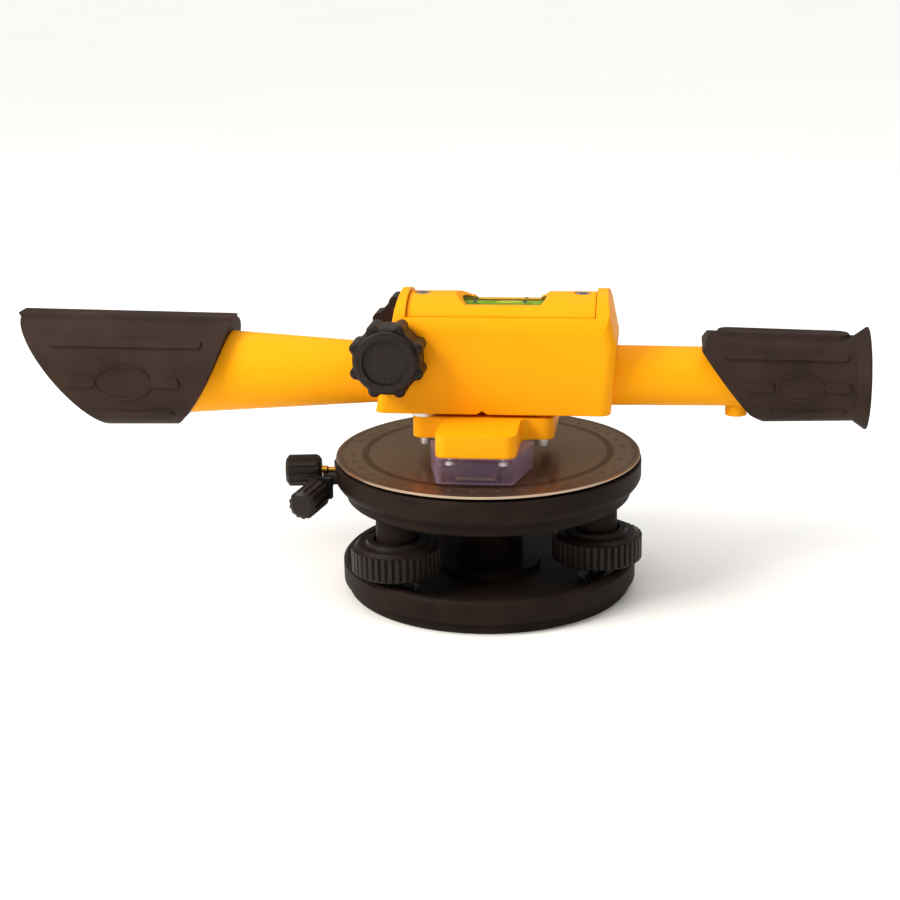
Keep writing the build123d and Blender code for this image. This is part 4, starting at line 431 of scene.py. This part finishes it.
def numberDial(s):
    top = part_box("horizontal_circle")[1].z + s["liftMm"] / 1000
    bm = bmesh.new()
    for degree in range(0, 360, 10):
        curve = bpy.data.curves.new("dialNumber", "FONT")
        curve.body = str(quadrantNumber(degree))
        curve.align_x = "CENTER"
        curve.align_y = "CENTER"
        curve.size = s["numberMm"] * s["sizeToDigit"] / 1000
        curve.extrude = s["depthMm"] / 2000
        text = bpy.data.objects.new("dialNumber", curve)
        scene.collection.objects.link(text)
        bpy.context.view_layer.update()
        glyphs = bpy.data.meshes.new_from_object(text)
        place = (Matrix.Rotation(math.radians(degree), 4, "Z")
                 @ Matrix.Translation((s["numberRadiusMm"] / 1000, 0, top + s["depthMm"] / 2000))
                 @ Matrix.Rotation(math.radians(90), 4, "Z"))  # tops of the digits point inwards
        glyphs.transform(place)
        bm.from_mesh(glyphs)
        bpy.data.objects.remove(text)
        bpy.data.curves.remove(curve)
        bpy.data.meshes.remove(glyphs)
    return meshPiece("dialNumbers", bm, "fadedEngraving", "circle")


engraveDial(dial)
numberDial(dial)
print("horizontal circle engraved")


# black index marks printed on both shoulders of the vial, and the air bubble between them
vialDetail = {"marksXMm": (-3.6, 14.8), "markMm": 1.3, "markCentreDeg": 28, "markHalfDeg": 6,
              "liftMm": 0.02, "inkMm": 0.04, "bubbleXMm": (2.6, 16.0), "bubbleHalfMm": 3.4,
              "bubbleDepthMm": 2.2, "bubbleLiftMm": 0.04, "bluntness": 0.8, "pinch": 0.7}


def addMark(bm, x, centre, radius, width, middle, half, thickness, steps=8):
    # a small pad wrapped on the tube, its place given as an angle from the top
    rows = []
    for dx, r in ((-width / 2, radius), (width / 2, radius), (width / 2, radius + thickness),
                  (-width / 2, radius + thickness)):
        turns = [math.radians(middle - half + 2 * half * i / steps) for i in range(steps + 1)]
        rows.append([bm.verts.new((x + dx, centre.y + r * math.sin(t), centre.z + r * math.cos(t)))
                     for t in turns])
    for k in range(4):
        here, after = rows[k], rows[(k + 1) % 4]
        for i in range(steps):
            bm.faces.new((here[i], here[i + 1], after[i + 1], after[i]))
    bm.faces.new([row[0] for row in rows])
    bm.faces.new([row[-1] for row in reversed(rows)])


def markVial(s):
    low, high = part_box("vial_glass")
    centre = (low + high) / 2
    radius = (high.z - low.z) / 2
    bm = bmesh.new()
    for x in s["marksXMm"]:
        for side in (-1, 1):
            addMark(bm, x / 1000, centre, radius + s["liftMm"] / 1000, s["markMm"] / 1000,
                    side * s["markCentreDeg"], s["markHalfDeg"], s["inkMm"] / 1000)
    bmesh.ops.recalc_face_normals(bm, faces=bm.faces)
    return meshPiece("vialMarks", bm, "engravingBlack", "telescope")


def blowBubble(s):
    low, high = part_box("vial_liquid")
    centre = (low + high) / 2
    inner = (high.z - low.z) / 2
    start, end = (x / 1000 for x in s["bubbleXMm"])
    bm = bmesh.new()
    bmesh.ops.create_uvsphere(bm, u_segments=48, v_segments=24, radius=1.0)
    for v in bm.verts:
        # blunt ends, as a bubble in a tube has
        long = math.copysign(abs(v.co.x) ** s["bluntness"], v.co.x)
        y = v.co.y * s["bubbleHalfMm"] / 1000
        roof = math.sqrt(max(inner ** 2 - y ** 2, 0)) + s["bubbleLiftMm"] / 1000
        depth = s["bubbleDepthMm"] / 1000 * (0.5 - 0.5 * v.co.z) * (1 - abs(v.co.y) * s["pinch"])
        v.co = Vector(((start + end) / 2 + long * (end - start) / 2,
                       centre.y + y, centre.z + roof - depth))
    for face in bm.faces:
        face.smooth = True
    return meshPiece("vialBubble", bm, "airBubble", "telescope")


markVial(vialDetail)
blowBubble(vialDetail)
print("vial marked and filled")


# painted shade for the drive recesses of the screws: thin dark sheets shaped as a cross recess on
# the cover screws and as hexagon sockets below
recessShadeSheets = {"crossWidthMm": 0.75, "liftMm": 0.02, "thickMm": 0.03, "armStepMm": 0.01,
          "firstTurnDeg": 20, "turnStepDeg": 37}


def addCross(bm, x, y, z, size, width, turn, sign):
    for quarter in (0, 90):
        along, side = polar(math.radians(turn + quarter))
        half, wide = size / 2, width / 2
        rim = [along * half * c + side * wide * d for c, d in (
            (-1, -0.6), (-0.3, -1), (0.3, -1), (1, -0.6), (1, 0.6), (0.3, 1), (-0.3, 1), (-1, 0.6))]
        # a hair of height keeps the two arms apart where they cross
        above = recessShadeSheets["armStepMm"] / 1000 * quarter / 90
        corners = [(x + p.x, y + p.y, z + above) for p in rim]
        if sign < 0:
            corners.reverse()
        addSlab(bm, corners, sign * recessShadeSheets["thickMm"] / 1000)


def addHexagon(bm, x, y, z, radius, sign):
    spokes = [polar(math.radians(60 * k))[0] * radius for k in range(6)]
    corners = [(x + p.x, y + p.y, z) for p in spokes]
    if sign < 0:
        corners.reverse()
    addSlab(bm, corners, sign * recessShadeSheets["thickMm"] / 1000)


def looseParts(node):
    # centre and top or bottom of each screw in a node that holds several
    mesh = nodes[node].data
    parent = list(range(len(mesh.vertices)))

    def root(i):
        while parent[i] != i:
            parent[i] = parent[parent[i]]
            i = parent[i]
        return i

    places = {}
    for v in mesh.vertices:
        key = tuple(round(c, 6) for c in v.co)
        if key in places:
            parent[root(v.index)] = root(places[key])
        else:
            places[key] = v.index
    for edge in mesh.edges:
        a, b = edge.vertices
        parent[root(a)] = root(b)
    groups = {}
    for v in mesh.vertices:
        groups.setdefault(root(v.index), []).append(v.co)
    parts = []
    for points in groups.values():
        low = Vector([min(p[i] for p in points) for i in range(3)])
        high = Vector([max(p[i] for p in points) for i in range(3)])
        parts.append((low, high))
    return parts


# lays dark sheets of painted shade on the screw heads, in place of cut recesses
def cutDrives(s):
    jobs = [("coverScrewRecessShade", "vial_cover_screws", "cross", 1, "telescope", 2.9),
            ("keeperScrewRecessShade", "keeper_screws", "cross", 1, "base", 2.3),
            ("postScrewRecessShade", "post_screws", "cross", 1, "head", 2.6),
            ("bodyScrewRecessShade", "body_screws", "hex", -1, "telescope", 1.55),
            ("windowScrewRecessShade", "window_screws", "cross", -1, "telescope", 2.3)]
    for name, node, kind, sign, body, size in jobs:
        bm = bmesh.new()
        for k, (low, high) in enumerate(sorted(looseParts(node), key=lambda p: (p[0].x, p[0].y))):
            x, y = (low.x + high.x) / 2, (low.y + high.y) / 2
            z = high.z + s["liftMm"] / 1000 if sign > 0 else low.z - s["liftMm"] / 1000
            if kind == "cross":
                turn = s["firstTurnDeg"] + s["turnStepDeg"] * k
                addCross(bm, x, y, z, size / 1000, s["crossWidthMm"] / 1000, turn, sign)
            else:
                addHexagon(bm, x, y, z, size / 1000, sign)
        meshPiece(name, bm, "recessShade", body)


cutDrives(recessShadeSheets)
print("screw drives cut")


# vernier lines on the index plate under the window
vernier = {"lines": 13, "stepDeg": 0.92, "lineMm": 0.14, "lengthMm": 2.2, "longMm": 3.2,
           "insetMm": 0.6, "sheetMm": 1.0, "liftMm": 0.02, "inkMm": 0.02}


def ruleVernier(s):
    low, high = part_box("index_plate")
    outer = abs(low.y) - s["insetMm"] / 1000
    # the tongue is the plate's lowest part, so its top is one sheet above its lowest point
    top = low.z + (s["sheetMm"] + s["liftMm"]) / 1000
    bm = bmesh.new()
    for k in range(s["lines"]):
        angle = math.radians(-90 + (k - (s["lines"] - 1) / 2) * s["stepDeg"])
        length = s["longMm"] if k % 3 == 0 else s["lengthMm"]
        addLine(bm, angle, outer - length / 1000, outer, s["lineMm"], top, s["inkMm"] / 1000)
    return meshPiece("vernierLines", bm, "engravingBlack", "telescope")


ruleVernier(vernier)
print("vernier ruled")


# pale room: a white floor, soft light from above, one large lamp at the left
studio = {"floor": "#FBFBFA", "mottle": "#F7F7F6", "mottleMm": 400, "floorHalf": 40.0,
          "sky": "#FFFEFC", "horizonStrength": 0.22, "zenithStrength": 1.85,
          "keyPower": 11.0, "keySize": 0.5, "keyPlace": (-0.7, -0.5, 0.7),
          "keyAim": (0, 0, 0.06), "keyTint": "#FFF9F0"}


def lightStudio(s):
    material, tree, shader, place = startMaterial("paleFloor", {"Roughness": 0.85, "IOR": 1.3})
    mottle = addNoise(tree, place, s["mottleMm"], 2.0)
    addTone(tree, shader, mottle, linearColour(s["mottle"]), linearColour(s["floor"]))
    bm = bmesh.new()
    bmesh.ops.create_grid(bm, x_segments=1, y_segments=1, size=s["floorHalf"])
    mesh = bpy.data.meshes.new("studioFloor")
    bm.to_mesh(mesh)
    bm.free()
    mesh.materials.append(material)
    floor = bpy.data.objects.new("studioFloor", mesh)
    scene.collection.objects.link(floor)
    world = bpy.data.worlds.new("paleStudio")
    world.use_nodes = True
    tree = world.node_tree
    sky = tree.nodes["Background"]
    sky.inputs["Color"].default_value = linearColour(s["sky"])
    place = addNode(tree, "ShaderNodeTexCoord")
    axes = addNode(tree, "ShaderNodeSeparateXYZ", links={"Vector": (place, "Generated")})
    height = addNode(tree, "ShaderNodeMath", {"operation": "MAXIMUM", 1: 0.0}, {0: (axes, "Z")})
    climb = addNode(tree, "ShaderNodeMath", {"operation": "POWER", 1: 2.0}, {0: (height, "Value")})
    soft = addNode(tree, "ShaderNodeMapRange",
                   {"To Min": s["horizonStrength"], "To Max": s["zenithStrength"]},
                   {"Value": (climb, "Value")})
    ray = addNode(tree, "ShaderNodeLightPath")
    # the sky itself always looks pale
    seen = addNode(tree, "ShaderNodeMath", {"operation": "MAXIMUM"},
                   {0: (soft, "Result"), 1: (ray, "Is Camera Ray")})
    tree.links.new(seen.outputs["Value"], sky.inputs["Strength"])
    scene.world = world
    lamp = bpy.data.lights.new("keyLight", "AREA")
    lamp.energy = s["keyPower"]
    lamp.size = s["keySize"]
    lamp.color = linearColour(s["keyTint"])[:3]
    light = bpy.data.objects.new("keyLight", lamp)
    spot = Vector(s["keyPlace"])
    light.location = spot
    light.rotation_euler = (spot - Vector(s["keyAim"])).to_track_quat("Z", "Y").to_euler()
    scene.collection.objects.link(light)


lightStudio(studio)
scene.view_settings.view_transform = "Standard"
print("studio lit")
